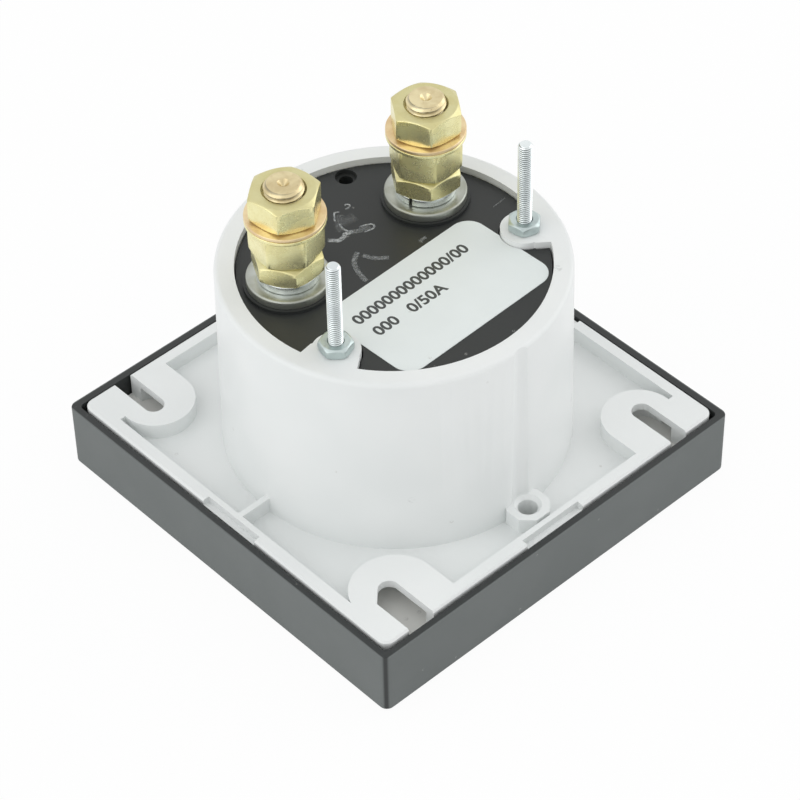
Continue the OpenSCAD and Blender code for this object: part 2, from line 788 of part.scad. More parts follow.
wire_r = 0.5;
wire_z = shunt_z - 7;

module wire_run(p, q, z) {
    d = q - p;
    translate([p[0], p[1], z]) rotate([0, 90, atan2(d[1], d[0])])
        cylinder(r = 0.85 * wire_r, h = norm(d));
}

module lead_wires() color(copper) {
    for (w = [
        [[-wire_x, terminal_y], [-wire_end_x, -axis_y], rear_bridge_z + bridge_t],
        [[wire_x, terminal_y], [wire_foot_x, -wire_foot_y], yoke_z]
    ]) {
        wire_run(w[0], w[1], wire_z);
        translate([w[0][0], w[0][1], 0]) pin(wire_r, wire_z - wire_r, shunt_z);
        translate([w[1][0], w[1][1], 0]) pin(wire_r, w[2], wire_z + wire_r);
    }
}

frame_arm_w = 6;
arm_end_r = 3.6;
arm_len = norm([fixing_x, axis_y - fixing_y]);
arm_ang = atan2(axis_y - fixing_y, fixing_x);

module movement_frame() color(alloy) {
    translate([0, 0, frame_z]) linear_extrude(height = frame_t) difference() {
        union() {
            translate([0, -axis_y]) circle(yoke_out + 0.5);
            translate([0, -axis_y]) square([2 * pillar_x, bridge_w], center = true);
            for (s = [-1, 1]) {
                translate([s * pillar_x, -axis_y]) circle(bridge_w / 2);
                translate([s * fixing_x, -fixing_y]) circle(arm_end_r);
                translate([0, -axis_y]) rotate(s < 0 ? 180 - arm_ang : arm_ang)
                    translate([0, -frame_arm_w / 2]) square([arm_len, frame_arm_w]);
            }
        }
        translate([0, -axis_y]) circle(yoke_in);
        for (s = [-1, 1]) {
            translate([s * pillar_x, -axis_y]) circle(bridge_screw_r + same_gap);
            translate([s * fixing_x, -fixing_y]) circle(fixing_screw_r + same_gap);
        }
    }
}

module movement_screws() color(zinc) {
    for (s = [-1, 1]) at_fixing(s) difference() {
        union() {
            pin(fixing_screw_r, frame_z - 1, yoke_z + fixing_screw_in);
            pin(fixing_head_r, frame_z - fixing_head_t, frame_z);
        }
        translate([-fixing_head_r - 1, -driver_w / 2, frame_z - fixing_head_t - 1])
            cube([2 * fixing_head_r + 2, driver_w, 1 + fixing_head_t / 2]);
    }
}

module spacer_block(grow) {
    for (s = [-1, 1])
        translate([-spacer_w / 2 - grow, s > 0 ? spacer_in : -spacer_out, spacer_mid - spacer_h / 2 - grow])
            cube([spacer_w + 2 * grow, spacer_out - spacer_in, spacer_h + 2 * grow]);
}

module yoke_ring() color(steel) {
    at_axis() difference() {
        pin(yoke_out, yoke_z, yoke_top);
        pin(yoke_in, yoke_z - 1, yoke_top + 1);
        spacer_block(same_gap);
    }
}

module magnet_core() color(magnet_grey) {
    at_axis() difference() {
        pin(core_r, core_z, core_z + core_len);
        spacer_block(same_gap);
    }
}

module core_spacers() color(alloy) {
    at_axis() spacer_block(0);
}

module bridge_pillars() color(brass_yellow) {
    at_axis() for (s = [-1, 1]) translate([s * pillar_x, 0, 0]) {
        difference() {
            pin(pillar_r, front_bridge_z + bridge_t, frame_z);
            pin(bridge_screw_r + same_gap, front_bridge_z, front_bridge_z + bridge_t + 2.5);
            pin(bridge_screw_r + same_gap, frame_z - 2, frame_z + 1);
        }
        difference() {
            union() {
                pin(pillar_r, yoke_z, rear_bridge_z);
                pin(bridge_screw_r, frame_z - 1.8, yoke_z + 1);
            }
            pin(bridge_screw_r + same_gap, rear_bridge_z - 4, rear_bridge_z + 1);
        }
    }
}

module bridge_screws() color(steel) {
    at_axis() for (s = [-1, 1]) translate([s * pillar_x, 0, 0]) {
        difference() {
            union() {
                pin(bridge_screw_r, front_bridge_z - 0.5, front_bridge_z + bridge_t + 2.2);
                pin(bridge_head_r, front_bridge_z - 0.9, front_bridge_z);
            }
            translate([-2, -0.25, front_bridge_z - 1.4]) cube([4, 0.5, 1]);
        }
        difference() {
            union() {
                pin(bridge_screw_r, rear_bridge_z - 3.6, rear_nut_z + 0.5);
                pin(bridge_head_r, rear_nut_z, rear_nut_z + 0.9);
            }
            translate([-2, -0.25, rear_nut_z + 0.4]) cube([4, 0.5, 1]);
        }
    }
}

module bridge_bar(z) {
    difference() {
        translate([0, 0, z]) linear_extrude(height = bridge_t) {
            square([2 * pillar_x, bridge_w], center = true);
            for (s = [-1, 1]) translate([s * pillar_x, 0]) circle(bridge_w / 2);
        }
        pin(jewel_r + same_gap, z - 1, z + bridge_t + 1);
        for (s = [-1, 1]) translate([s * pillar_x, 0, 0])
            pin(bridge_screw_r + same_gap, z - 1, z + bridge_t + 1);
    }
}

module front_bridge() color(alloy) {
    at_axis() bridge_bar(front_bridge_z);
}

module rear_bridge() color(alloy) {
    at_axis() {
        bridge_bar(rear_bridge_z);
        translate([-tab_w / 2, 0, rear_bridge_z]) difference() {
            cube([tab_w, tab_in + tab_t, bridge_t]);
            translate([-1, -1, -1]) cube([4, bridge_w / 2, bridge_t + 2]);
        }
        translate([-tab_w / 2, tab_in, rear_hair_z])
            cube([tab_w, tab_t, rear_bridge_z - rear_hair_z + eps]);
    }
}

module jewel_screw_front() color(brass_yellow) {
    at_axis() difference() {
        pin(jewel_r, jewel_z0, jewel_z1);
        pin(staff_r + run_clear, jewel_z1 - jewel_pit, jewel_z1 + 1);
        translate([-2, -0.25, jewel_z0 - 1]) cube([4, 0.5, 1.5]);
    }
}

module jewel_screw_rear() color(brass_yellow) {
    at_axis() difference() {
        pin(jewel_r, rear_jewel_z0, rear_jewel_z1);
        pin(staff_r + run_clear, rear_jewel_z0 - 1, rear_jewel_z0 + jewel_pit + 0.2);
        translate([-2, -0.25, rear_jewel_z1 - 0.6]) cube([4, 0.5, 1]);
    }
}

module jewel_nuts() color(brass_yellow) {
    at_axis() {
        translate([0, 0, front_nut_z]) nut(jewel_af, jewel_nut_t, jewel_r + same_gap, 0, false, false);
        translate([0, 0, rear_nut_z]) nut(jewel_af, jewel_nut_t, jewel_r + same_gap, 0, false, false);
    }
}

module coil_box(x, w, z0, z1) {
    translate([-x, -w / 2, z0]) cube([2 * x, w, z1 - z0]);
}

module coil_former() color(alloy) {
    at_axis() rotate([0, 0, rest_ang + 90]) difference() {
        coil_box(coil_out, former_w, coil_z0, coil_z1);
        coil_box(coil_in, former_w + 2, bed_z0 + former_t, bed_z1 - former_t);
        difference() {
            coil_box(coil_out + 1, winding_w, coil_z0 - 1, coil_z1 + 1);
            coil_box(coil_bed, winding_w + 1, bed_z0, bed_z1);
        }
    }
}

module coil_winding() color(copper) {
    at_axis() rotate([0, 0, rest_ang + 90]) difference() {
        coil_box(coil_out, winding_w, coil_z0, coil_z1);
        coil_box(coil_bed, winding_w + 1, bed_z0, bed_z1);
    }
}

module pivot_front() color(steel) {
    at_axis() {
        pin(1.6, coil_z0 - pivot_foot_t, coil_z0);
        pin(staff_r, jewel_z1 - jewel_pit + pivot_gap, coil_z0);
    }
}

module pivot_rear() color(steel) {
    at_axis() {
        pin(1.6, coil_z1, coil_z1 + 0.4);
        pin(staff_r, coil_z1, rear_jewel_z0 + jewel_pit);
    }
}

// spiral of half turns with a collet, its outer end pointing along -X
module hair_spiral(z) {
    translate([0, 0, z]) {
        difference() {
            cylinder(r = collet_out, h = hair_h);
            translate([0, 0, -1]) cylinder(r = collet_in, h = hair_h + 2);
        }
        translate([collet_out - 0.1, -0.15, 0]) cube([hair_r0 - collet_out + 0.1, 0.3, hair_h]);
        for (i = [0:hair_half_turns - 1]) {
            r = hair_r0 + i * hair_pitch / 2;
            translate([i % 2 == 0 ? 0 : hair_pitch / 2, 0, 0]) rotate([0, 0, i % 2 == 0 ? 0 : 180])
                rotate_extrude(angle = 180, $fn = 48) translate([r - hair_t / 2, 0]) square([hair_t, hair_h]);
        }
    }
}

module hairspring_front() color(copper) {
    at_axis() rotate([0, 0, 90]) hair_spiral(front_hair_z);
}

module hairspring_rear() color(copper) {
    at_axis() rotate([0, 0, -90]) hair_spiral(rear_hair_z);
}

weight_dist = balance_len - 0.9;
weight_r = 0.8;
arm_w = 0.7;

module pointer() color(black) {
    tip_w = 0.5;
    at_axis() rotate([0, 0, rest_ang]) difference() {
        union() {
            pin(1.4, pointer_z - 0.1, pointer_z + pointer_t + 0.4);
            translate([0, 0, pointer_z]) linear_extrude(height = pointer_t) {
                polygon([
                    [0, -pointer_w / 2], [pointer_len - 6, -tip_w / 2], [pointer_len, -0.1],
                    [pointer_len, 0.1], [pointer_len - 6, tip_w / 2], [0, pointer_w / 2]
                ]);
                translate([-balance_len, -arm_w / 2]) square([balance_len, arm_w]);
                square([arm_w, 2 * balance_len], center = true);
            }
        }
        pin(staff_r + same_gap, pointer_z - 1, pointer_z + 3);
    }
}

module balance_weights() color(brass_yellow) {
    at_axis() rotate([0, 0, rest_ang]) for (a = [90, 180, 270])
        rotate([0, 0, a]) translate([weight_dist, 0, 0]) difference() {
            pin(weight_r, pointer_z - 0.25, pointer_z + pointer_t + 0.25);
            translate([-weight_r - 0.2, -arm_w / 2 - same_gap, pointer_z - same_gap])
                cube([2 * weight_r + 0.4, arm_w + 2 * same_gap, pointer_t + 2 * same_gap]);
        }
}

module zero_lever() color(alloy) {
    at_axis() {
        translate([0, 0, lever_z]) linear_extrude(height = lever_t) difference() {
            union() {
                circle(lever_ring_r);
                translate([-lever_w / 2, -lever_end]) square([lever_w, lever_end]);
            }
            circle(jewel_r + run_clear);
            translate([-fork_half, -lever_end - 1]) square([2 * fork_half, lever_end - fork_in + 1]);
        }
        translate([-tab_w / 2, -tab_in - tab_t, lever_z + eps])
            cube([tab_w, tab_t, front_hair_z + hair_h - lever_z - eps]);
    }
}

module zero_screw() color(black) {
    translate([0, zero_y, 0]) difference() {
        union() {
            pin(zero_head_r, head_recess - zero_head_t, head_recess);
            pin(zero_shaft_r, head_recess - eps, front_wall + 0.06);
            pin(zero_collar_r, front_wall + 0.05, front_nut_z);
            translate([0, pin_offset, 0]) pin(pin_r, front_nut_z - eps, lever_z + lever_t + 0.5);
        }
        translate([-zero_head_r - 1, -zero_slot_w / 2, -1])
            cube([2 * zero_head_r + 2, zero_slot_w, 1 + head_recess - 0.3]);
    }
}

bezel_frame();
front_window();
dial_plate();
dial_screws();
pointer_stops();
base_moulding();
terminal_plate();
rating_label();
terminal_stud_left();
terminal_stud_right();
plain_washer_left();
plain_washer_right();
spring_washer_left();
spring_washer_right();
lock_nut_left();
lock_nut_right();
spacer_nut_left();
spacer_nut_right();
lower_lug_washer_left();
lower_lug_washer_right();
upper_lug_washer_left();
upper_lug_washer_right();
terminal_nut_left();
terminal_nut_right();
shunt_strip();
lead_wires();
fixing_stud_left();
fixing_stud_right();
fixing_nut_left();
fixing_nut_right();
movement_frame();
movement_screws();
yoke_ring();
magnet_core();
core_spacers();
bridge_pillars();
bridge_screws();
front_bridge();
rear_bridge();
jewel_screw_front();
jewel_screw_rear();
jewel_nuts();
coil_former();
coil_winding();
pivot_front();
pivot_rear();
hairspring_front();
hairspring_rear();
pointer();
balance_weights();
zero_lever();
zero_screw();
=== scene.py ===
import math

import bmesh
import bpy
import numpy as np
from mathutils import Matrix, Vector


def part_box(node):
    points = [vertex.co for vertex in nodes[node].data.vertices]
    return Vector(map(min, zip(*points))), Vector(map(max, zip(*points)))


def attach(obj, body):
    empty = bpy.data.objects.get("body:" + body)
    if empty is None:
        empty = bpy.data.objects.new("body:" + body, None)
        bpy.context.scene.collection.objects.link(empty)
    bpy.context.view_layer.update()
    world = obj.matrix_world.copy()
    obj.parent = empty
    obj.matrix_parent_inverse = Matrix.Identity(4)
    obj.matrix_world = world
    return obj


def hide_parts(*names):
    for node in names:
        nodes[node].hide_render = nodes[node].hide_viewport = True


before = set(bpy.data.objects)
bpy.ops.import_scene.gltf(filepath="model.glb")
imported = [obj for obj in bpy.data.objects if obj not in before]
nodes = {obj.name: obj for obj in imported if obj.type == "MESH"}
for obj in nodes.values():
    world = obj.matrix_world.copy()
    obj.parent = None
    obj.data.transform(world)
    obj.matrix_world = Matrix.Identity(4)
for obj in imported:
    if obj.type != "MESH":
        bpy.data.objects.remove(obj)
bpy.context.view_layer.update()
mm = 0.001
tau = 2 * math.pi
print("frame loaded,", len(nodes), "nodes")


class Wire:
    # a socket that can be used in sums; every operator adds one Math node
    def __init__(self, finish, socket):
        self.finish = finish
        self.socket = socket

    def math(self, operation, *values):
        return self.finish.add("Math", {"operation": operation}, dict(enumerate(values)))

    def __add__(self, other):
        return self.math("ADD", self, other)

    def __radd__(self, other):
        return self.math("ADD", other, self)

    def __sub__(self, other):
        return self.math("SUBTRACT", self, other)

    def __rsub__(self, other):
        return self.math("SUBTRACT", other, self)

    def __mul__(self, other):
        return self.math("MULTIPLY", self, other)

    def __rmul__(self, other):
        return self.math("MULTIPLY", other, self)

    def __gt__(self, other):
        return self.math("GREATER_THAN", self, other)

    def max(self, other):
        return self.math("MAXIMUM", self, other)

    def abs(self):
        return self.math("ABSOLUTE", self)


class Finish:
    # the nodes of one material or world: add() makes any node, feed() sets or links one socket
    def __init__(self, owner):
        self.material = owner
        owner.use_nodes = True
        self.tree = owner.node_tree
        self.shader = next(n for n in self.tree.nodes if n.type in ("BSDF_PRINCIPLED", "BACKGROUND"))

    def feed(self, socket, value):
        if isinstance(value, Wire):
            self.tree.links.new(value.socket, socket)
        elif isinstance(value, tuple) and len(value) == 3 and socket.type == "RGBA":
            socket.default_value = (*value, 1)
        else:
            socket.default_value = value

    def add(self, kind, settings=None, inputs=None, out=0):
        node = self.tree.nodes.new("ShaderNode" + kind)
        for key, value in (settings or {}).items():
            setattr(node, key, value)
        for key, value in (inputs or {}).items():
            self.feed(node.inputs[key], value)
        return Wire(self, node.outputs[out])

    def outputs(self, wire):
        # every output of the node that a wire comes from
        return [Wire(self, socket) for socket in wire.socket.node.outputs]

    def coat(self, **values):
        # sets the shader's own sockets: baseColor -> Base Color
        for key, value in values.items():
            words = "".join(" " + c if c.isupper() else c for c in key).title()
            self.feed(self.shader.inputs[words.replace("Ior", "IOR")], value)
        return self

    def place(self, scale=(1, 1, 1), shift=(0, 0, 0)):
        spot = self.add("TexCoord", out="Object")
        return self.add("Mapping", None, {"Vector": spot, "Scale": scale, "Location": shift})

    def noise(self, size, detail=3, rough=0.5, stretch=(1, 1, 1), twist=0.0):
        # size is the mean lump in millimetres
        spot = self.place(tuple(s / (size * mm) for s in stretch))
        return self.add("TexNoise", None, {"Vector": spot, "Scale": 1.0, "Detail": detail,
                                           "Roughness": rough, "Distortion": twist})

    def ramp(self, value, low, high):
        # 0 below low, 1 above high, smooth between
        return self.add("MapRange", {"interpolation_type": "SMOOTHSTEP"},
                        {"Value": value, "From Min": low, "From Max": high})

    def blend(self, mask, under, over):
        return self.add("Mix", {"data_type": "RGBA", "clamp_factor": True},
                        {"Factor": mask, 6: under, 7: over}, out=2)

    def layer(self, name):
        # a number stored on the mesh
        return self.add("Attribute", {"attribute_name": name}, out="Fac")

    def bump(self, height, strength, depth, normal=None):
        inputs = {"Height": height, "Strength": strength, "Distance": depth * mm}
        if normal:
            inputs["Normal"] = normal
        return self.add("Bump", None, inputs)

    def specks(self, size, share, seed=0.0):
        # ragged dots at the middles of random cells, in a share of the cells
        spot = self.place((1 / (size * mm),) * 3, (seed, seed * 1.7, seed * 0.6))
        cell = self.add("TexVoronoi", {"feature": "F1"}, {"Vector": spot, "Scale": 1.0})
        distance, colour = self.outputs(cell)[:2]
        pick = self.add("SeparateColor", None, {"Color": colour})
        ragged = self.ramp(self.noise(0.12 * size, 2), 0.42, 0.58)
        return self.ramp(distance, 0.2, 0.12) * (pick > 1 - share) * ragged


def newFinish(name):
    return Finish(bpy.data.materials.new(name))


def dress(finish, *names):
    # gives whole CAD nodes one material
    for name in names:
        slots = nodes[name].data.materials
        slots.clear()
        slots.append(finish.material)


whiteMould = {"light": (0.82, 0.84, 0.835), "dull": (0.78, 0.805, 0.80), "dirt": (0.47, 0.46, 0.43),
              "rough": 0.33}


def makeWhitePlastic():
    # satin moulding: cloudy tone, faint flow lines, fine grain and a few specks of dirt
    f = newFinish("whitePlastic")
    cloud = f.noise(26, 2)
    grain = f.noise(0.22, 2, 0.6)
    flow = f.noise(7, 3, 0.55, stretch=(1, 1, 0.35), twist=0.8)
    tone = f.blend(f.ramp(cloud, 0.3, 0.7), whiteMould["dull"], whiteMould["light"])
    tone = f.blend(f.specks(2.6, 0.03) * 0.4, tone, whiteMould["dirt"])
    tone = f.blend(f.specks(5.5, 0.025, 3.1) * 0.3, tone, (0.3, 0.3, 0.3))
    rough = whiteMould["rough"] + 0.12 * f.ramp(flow, 0.35, 0.7)
    return f.coat(baseColor=tone, roughness=rough, specularIorLevel=0.45,
                  normal=f.bump(grain, 0.12, 0.02, f.bump(flow, 0.08, 0.1)))


# side is a paler grey for the outer walls, a painted reflection of the pale floor; wall is where those
# walls begin and end
blackMould = {"tone": (0.024, 0.027, 0.027), "scuff": (0.11, 0.11, 0.11), "side": (0.145, 0.158, 0.156),
              "dust": (0.42, 0.42, 0.4), "wall": (47.6 * mm, 47.9 * mm)}


def makeBlackPlastic(name, tone, rough, wallsWithPaintedSheen=False):
    # satin black: patchy tone, hairline scuffs and dust; the outer walls are rougher and get a paler
    # grey, a painted reflection of the pale floor
    f = newFinish(name)
    grain = f.noise(0.3, 3, 0.65)
    patch = f.ramp(f.noise(14, 3), 0.3, 0.7)
    hairline = f.ramp(f.noise(1.2, 2, 0.5, stretch=(1, 14, 3)), 0.66, 0.74)
    scratch = hairline * f.ramp(f.noise(9, 2), 0.5, 0.62)
    colour = f.blend(patch, tone, tuple(1.18 * c for c in tone))
    if wallsWithPaintedSheen:
        x, y = f.outputs(f.add("SeparateXYZ", None, {"Vector": f.place()}))[:2]
        wall = f.ramp(x.abs().max(y.abs()), *blackMould["wall"])
        # painted reflection: the outer walls blend to the paler side grey
        colour = f.blend(wall, colour, blackMould["side"])
        rough = rough + 0.2 * wall
    colour = f.blend(scratch * 0.3, colour, blackMould["scuff"])
    colour = f.blend(f.specks(2.2, 0.07, 1.3) * 0.4, colour, blackMould["dust"])
    return f.coat(baseColor=colour, roughness=rough + 0.1 * patch, specularIorLevel=0.42,
                  normal=f.bump(grain, 0.2, 0.03))


def makeMetal(name, light, dark, rough, stain=(0.3, 0.2, 0.1), stainShare=0.3, marks=(1, 1, 1),
              bare=1.0, paintedRootShade=0.0, turned=0.0, streaked=0.0):
    # a turned or plated metal: cloudy tone, fine tool marks and a little stain; a painted shade can
    # darken the thread roots, turned makes faces cut across the bar and washer rims rougher and darker
    # with painted shade, streaked darkens the marks
    f = newFinish(name)
    cloud = f.noise(3.5, 3, 0.6)
    fine = f.noise(0.35, 3, 0.6, stretch=marks)
    colour = f.blend(f.ramp(cloud, 0.3, 0.72), light, dark)
    spots = f.ramp(f.noise(1.6, 4, 0.7), 0.62, 0.74)
    colour = f.blend(spots * stainShare, colour, stain)
    if streaked:
        colour = f.blend(f.ramp(fine, 0.48, 0.72) * streaked, colour, tuple(0.55 * c for c in dark))
    rough = rough + 0.16 * f.ramp(cloud, 0.3, 0.8) + 0.12 * spots
    # painted shade: the thread roots blend towards near black
    if paintedRootShade:
        colour = f.blend(f.ramp(f.layer("groove"), 0.25, 0.95) * paintedRootShade, colour, (0.12, 0.12, 0.11))
    # painted shade: faces cut across the bar and outer rims darken, and they are rougher too
    if turned:
        face = f.layer("turned")
        colour = f.blend(face * turned, colour, tuple(0.5 * c for c in dark))
        rough = rough + 0.12 * face
    return f.coat(baseColor=colour, metallic=bare, roughness=rough, normal=f.bump(fine, 0.12, 0.02))


def makePaper(name, tone, rough):
    # printed paper or enamel: almost even tone, faint fibre and a little dust
    f = newFinish(name)
    cloud = f.noise(9, 3)
    colour = f.blend(f.ramp(cloud, 0.3, 0.7), tone, tuple(0.98 * c for c in tone))
    colour = f.blend(f.specks(3.1, 0.04, 2.2) * 0.35, colour, (0.4, 0.4, 0.38))
    return f.coat(baseColor=colour, roughness=rough + 0.08 * cloud, specularIorLevel=0.4,
                  normal=f.bump(f.noise(0.25, 3, 0.6), 0.08, 0.02))


def makeInk(name, tone):
    # printed ink: a near black that varies a little
    f = newFinish(name)
    patch = f.ramp(f.noise(0.8, 3), 0.3, 0.75)
    return f.coat(baseColor=f.blend(patch, tone, tuple(1.35 * c for c in tone)), roughness=0.45)


def makeGlass():
    # clear pane: mostly let through, a little more milky where it is smeared
    f = newFinish("clearWindow")
    smear = f.ramp(f.noise(12, 4, 0.6, twist=1.2), 0.5, 0.75)
    return f.coat(baseColor=(0.86, 0.9, 0.9), alpha=0.035 + 0.03 * smear,
                  roughness=0.03 + 0.05 * smear)


whitePlastic = makeWhitePlastic()
blackPlastic = makeBlackPlastic("blackPlastic", blackMould["tone"], 0.42, wallsWithPaintedSheen=True)
discPlastic = makeBlackPlastic("discPlastic", (0.021, 0.0235, 0.023), 0.4)
# turned puts a painted shade on the nuts' faces cut across the bar, which are also rougher
brassMetal = makeMetal("brassMetal", (0.90, 0.85, 0.48), (0.82, 0.75, 0.38), 0.2,
                       (0.50, 0.40, 0.16), 0.08, (2.2, 2.2, 0.14), bare=0.85, turned=0.46,
                       streaked=0.06)
studBrass = makeMetal("studBrass", (0.80, 0.70, 0.43), (0.62, 0.51, 0.29), 0.3,
                      (0.30, 0.20, 0.11), 0.5, (1, 1, 6), bare=0.8, paintedRootShade=0.6)
washerBronze = makeMetal("washerBronze", (0.84, 0.68, 0.42), (0.72, 0.53, 0.30), 0.3,
                         (0.34, 0.20, 0.10), 0.5, (1, 1, 6), bare=0.85)
zincMetal = makeMetal("zincMetal", (0.72, 0.75, 0.74), (0.56, 0.60, 0.59), 0.22,
                      (0.50, 0.48, 0.36), 0.4, (1, 1, 2), bare=0.92)
# turned puts a painted shade on the plain washers' outer rims, which are also rougher
washerZinc = makeMetal("washerZinc", (0.72, 0.75, 0.72), (0.54, 0.56, 0.48), 0.24,
                       (0.42, 0.40, 0.29), 0.45, (1, 1, 2), bare=0.92, turned=0.72)
zincDull = makeMetal("zincDull", (0.56, 0.64, 0.63), (0.45, 0.52, 0.52), 0.28,
                     (0.3, 0.31, 0.29), 0.35, (1, 1, 2), bare=0.85)
zincThread = makeMetal("zincThread", (0.82, 0.87, 0.87), (0.70, 0.75, 0.76), 0.22,
                       (0.62, 0.60, 0.50), 0.2, (1, 1, 2), paintedRootShade=0.85)
copperMetal = makeMetal("copperMetal", (0.72, 0.42, 0.28), (0.6, 0.34, 0.22), 0.3)
steelMetal = makeMetal("steelMetal", (0.5, 0.5, 0.52), (0.4, 0.4, 0.42), 0.3)
alloyMetal = makeMetal("alloyMetal", (0.72, 0.72, 0.71), (0.62, 0.62, 0.62), 0.34,
                       (0.4, 0.4, 0.4), 0.2)
magnetMetal = makeMetal("magnetMetal", (0.24, 0.24, 0.25), (0.17, 0.17, 0.18), 0.42,
                        (0.2, 0.12, 0.08), 0.3)
labelPaper = makePaper("labelPaper", (0.775, 0.825, 0.82), 0.34)
dialEnamel = makePaper("dialEnamel", (0.80, 0.80, 0.77), 0.5)
printInk = makeInk("printInk", (0.045, 0.05, 0.05))
pointerBlack = makeInk("pointerBlack", (0.012, 0.012, 0.012))
clearWindow = makeGlass()

dress(blackPlastic, "zero_screw")
dress(discPlastic, "terminal_plate")
dress(labelPaper, "rating_label")
dress(dialEnamel, "dial_plate")
dress(clearWindow, "front_window")
dress(pointerBlack, "pointer")
dress(copperMetal, "shunt_strip", "lead_wires", "coil_winding", "hairspring_front",
      "hairspring_rear")
dress(steelMetal, "yoke_ring", "dial_screws", "pointer_stops", "bridge_screws", "pivot_front",
      "pivot_rear")
dress(alloyMetal, "movement_frame", "front_bridge", "rear_bridge", "core_spacers", "coil_former",
      "zero_lever")
dress(magnetMetal, "magnet_core")
dress(zincMetal, "movement_screws")
dress(brassMetal, "bridge_pillars", "jewel_screw_front", "jewel_screw_rear", "jewel_nuts",
      "balance_weights")
print("finishes on the CAD nodes")


def addPiece(name, mesh, finish, body="case"):
    # links a mesh as a piece of the case, or of another body
    mesh.name = name
    mesh.materials.clear()
    mesh.materials.append(finish.material)
    obj = bpy.data.objects.new(name, mesh)
    bpy.context.scene.collection.objects.link(obj)
    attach(obj, body)
    return obj


def addMesh(name, points, faces, finish, sharp=None, layers=None):
    # layers are numbers stored on the points, one row for each layer's name
    mesh = bpy.data.meshes.new(name)
    mesh.from_pydata(np.asarray(points, float).tolist(), [], faces)
    for key, values in (layers or {}).items():
        layer = mesh.attributes.new(key, "FLOAT", "POINT")
        layer.data.foreach_set("value", np.asarray(values, np.float32))
    work = bmesh.new()
    work.from_mesh(mesh)
    bmesh.ops.recalc_face_normals(work, faces=work.faces)
    work.to_mesh(mesh)
    work.free()
    mesh.shade_smooth()
    if sharp:
        mesh.set_sharp_from_angle(angle=math.radians(sharp))
    return addPiece(name, mesh, finish)


def gridFaces(rows, cols, wrapRows=False, wrapCols=True, start=0):
    # quads between neighbouring grid points, joined round where the grid wraps
    r = np.arange(rows if wrapRows else rows - 1)
    c = np.arange(cols if wrapCols else cols - 1)
    rr, cc = np.meshgrid(r, c, indexing="ij")
    r1, c1 = (rr + 1) % rows, (cc + 1) % cols
    quads = np.stack([rr * cols + cc, rr * cols + c1, r1 * cols + c1, r1 * cols + cc], -1)
    return (quads.reshape(-1, 4) + start).tolist()


def corner(cx, cy, r, a0, a1, steps=5):
    # quarter turn of a profile's edge, from angle a0 to a1 in degrees
    a = np.radians(np.linspace(a0, a1, steps))
    return list(zip(cx + r * np.cos(a), cy + r * np.sin(a)))


def floorAndTop(node):
    low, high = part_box(node)
    return low[2], high[2]


print("helpers ready")

# a moulding is its solid's mesh with flat faces joined up and edges rounded by width
mouldings = {
    "base_moulding": {"name": "baseMoulding", "width": 0.2 * mm, "finish": whitePlastic,
                      "slot": "white_plastic"},
    "bezel_frame": {"name": "bezelFrame", "width": 0.12 * mm, "finish": blackPlastic,
                    "slot": "black_plastic"},
}
mouldingMesh = {"merge": 0.002 * mm, "flat": math.radians(1), "smooth": math.radians(30),
                "edge": math.radians(32), "segments": 2}
# the thin lips outside the border's notches end lower than the solid's
notchLips = {"from": 15.9 * mm, "to": 15.35 * mm, "inner": 45.0 * mm, "slack": 0.02 * mm}


def lowerLips(mesh):
    # brings the outer points at the lips' height down to the lower one
    points = np.empty(len(mesh.vertices) * 3)
    mesh.vertices.foreach_get("co", points)
    points = points.reshape(-1, 3)
    top = np.abs(points[:, 2] - notchLips["from"]) < notchLips["slack"]
    outer = np.abs(points[:, :2]).max(axis=1) > notchLips["inner"]
    points[top & outer, 2] = notchLips["to"]
    mesh.vertices.foreach_set("co", points.ravel())


def joinedUp(node):
    # a copy of the solid's mesh, its points merged and its flat faces joined
    mesh = nodes[node].data.copy()
    work = bmesh.new()
    work.from_mesh(mesh)
    bmesh.ops.remove_doubles(work, verts=work.verts, dist=mouldingMesh["merge"])
    bmesh.ops.dissolve_limit(work, angle_limit=mouldingMesh["flat"], verts=work.verts,
                             edges=work.edges, use_dissolve_boundaries=False)
    bmesh.ops.recalc_face_normals(work, faces=work.faces)
    work.to_mesh(mesh)
    work.free()
    return mesh


for node, facts in mouldings.items():
    mesh = joinedUp(node)
    if node == "base_moulding":
        lowerLips(mesh)
    mesh.shade_smooth()
    mesh.set_sharp_from_angle(angle=mouldingMesh["smooth"])
    piece = addPiece(facts["name"], mesh, facts["finish"])
    bevel = piece.modifiers.new("softEdge", "BEVEL")
    bevel.width = facts["width"]
    bevel.segments = mouldingMesh["segments"]
    bevel.limit_method = "ANGLE"
    bevel.angle_limit = mouldingMesh["edge"]
    bevel.use_clamp_overlap = True
    bevel.harden_normals = True
    bevel.miter_outer = "MITER_SHARP"
    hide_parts(node)
print("mouldings")


# the thread's flat crest and its slopes, as shares of half a pitch
threadForm = {"crest": 0.14, "slope": 0.72, "pit": 0.2 * mm}


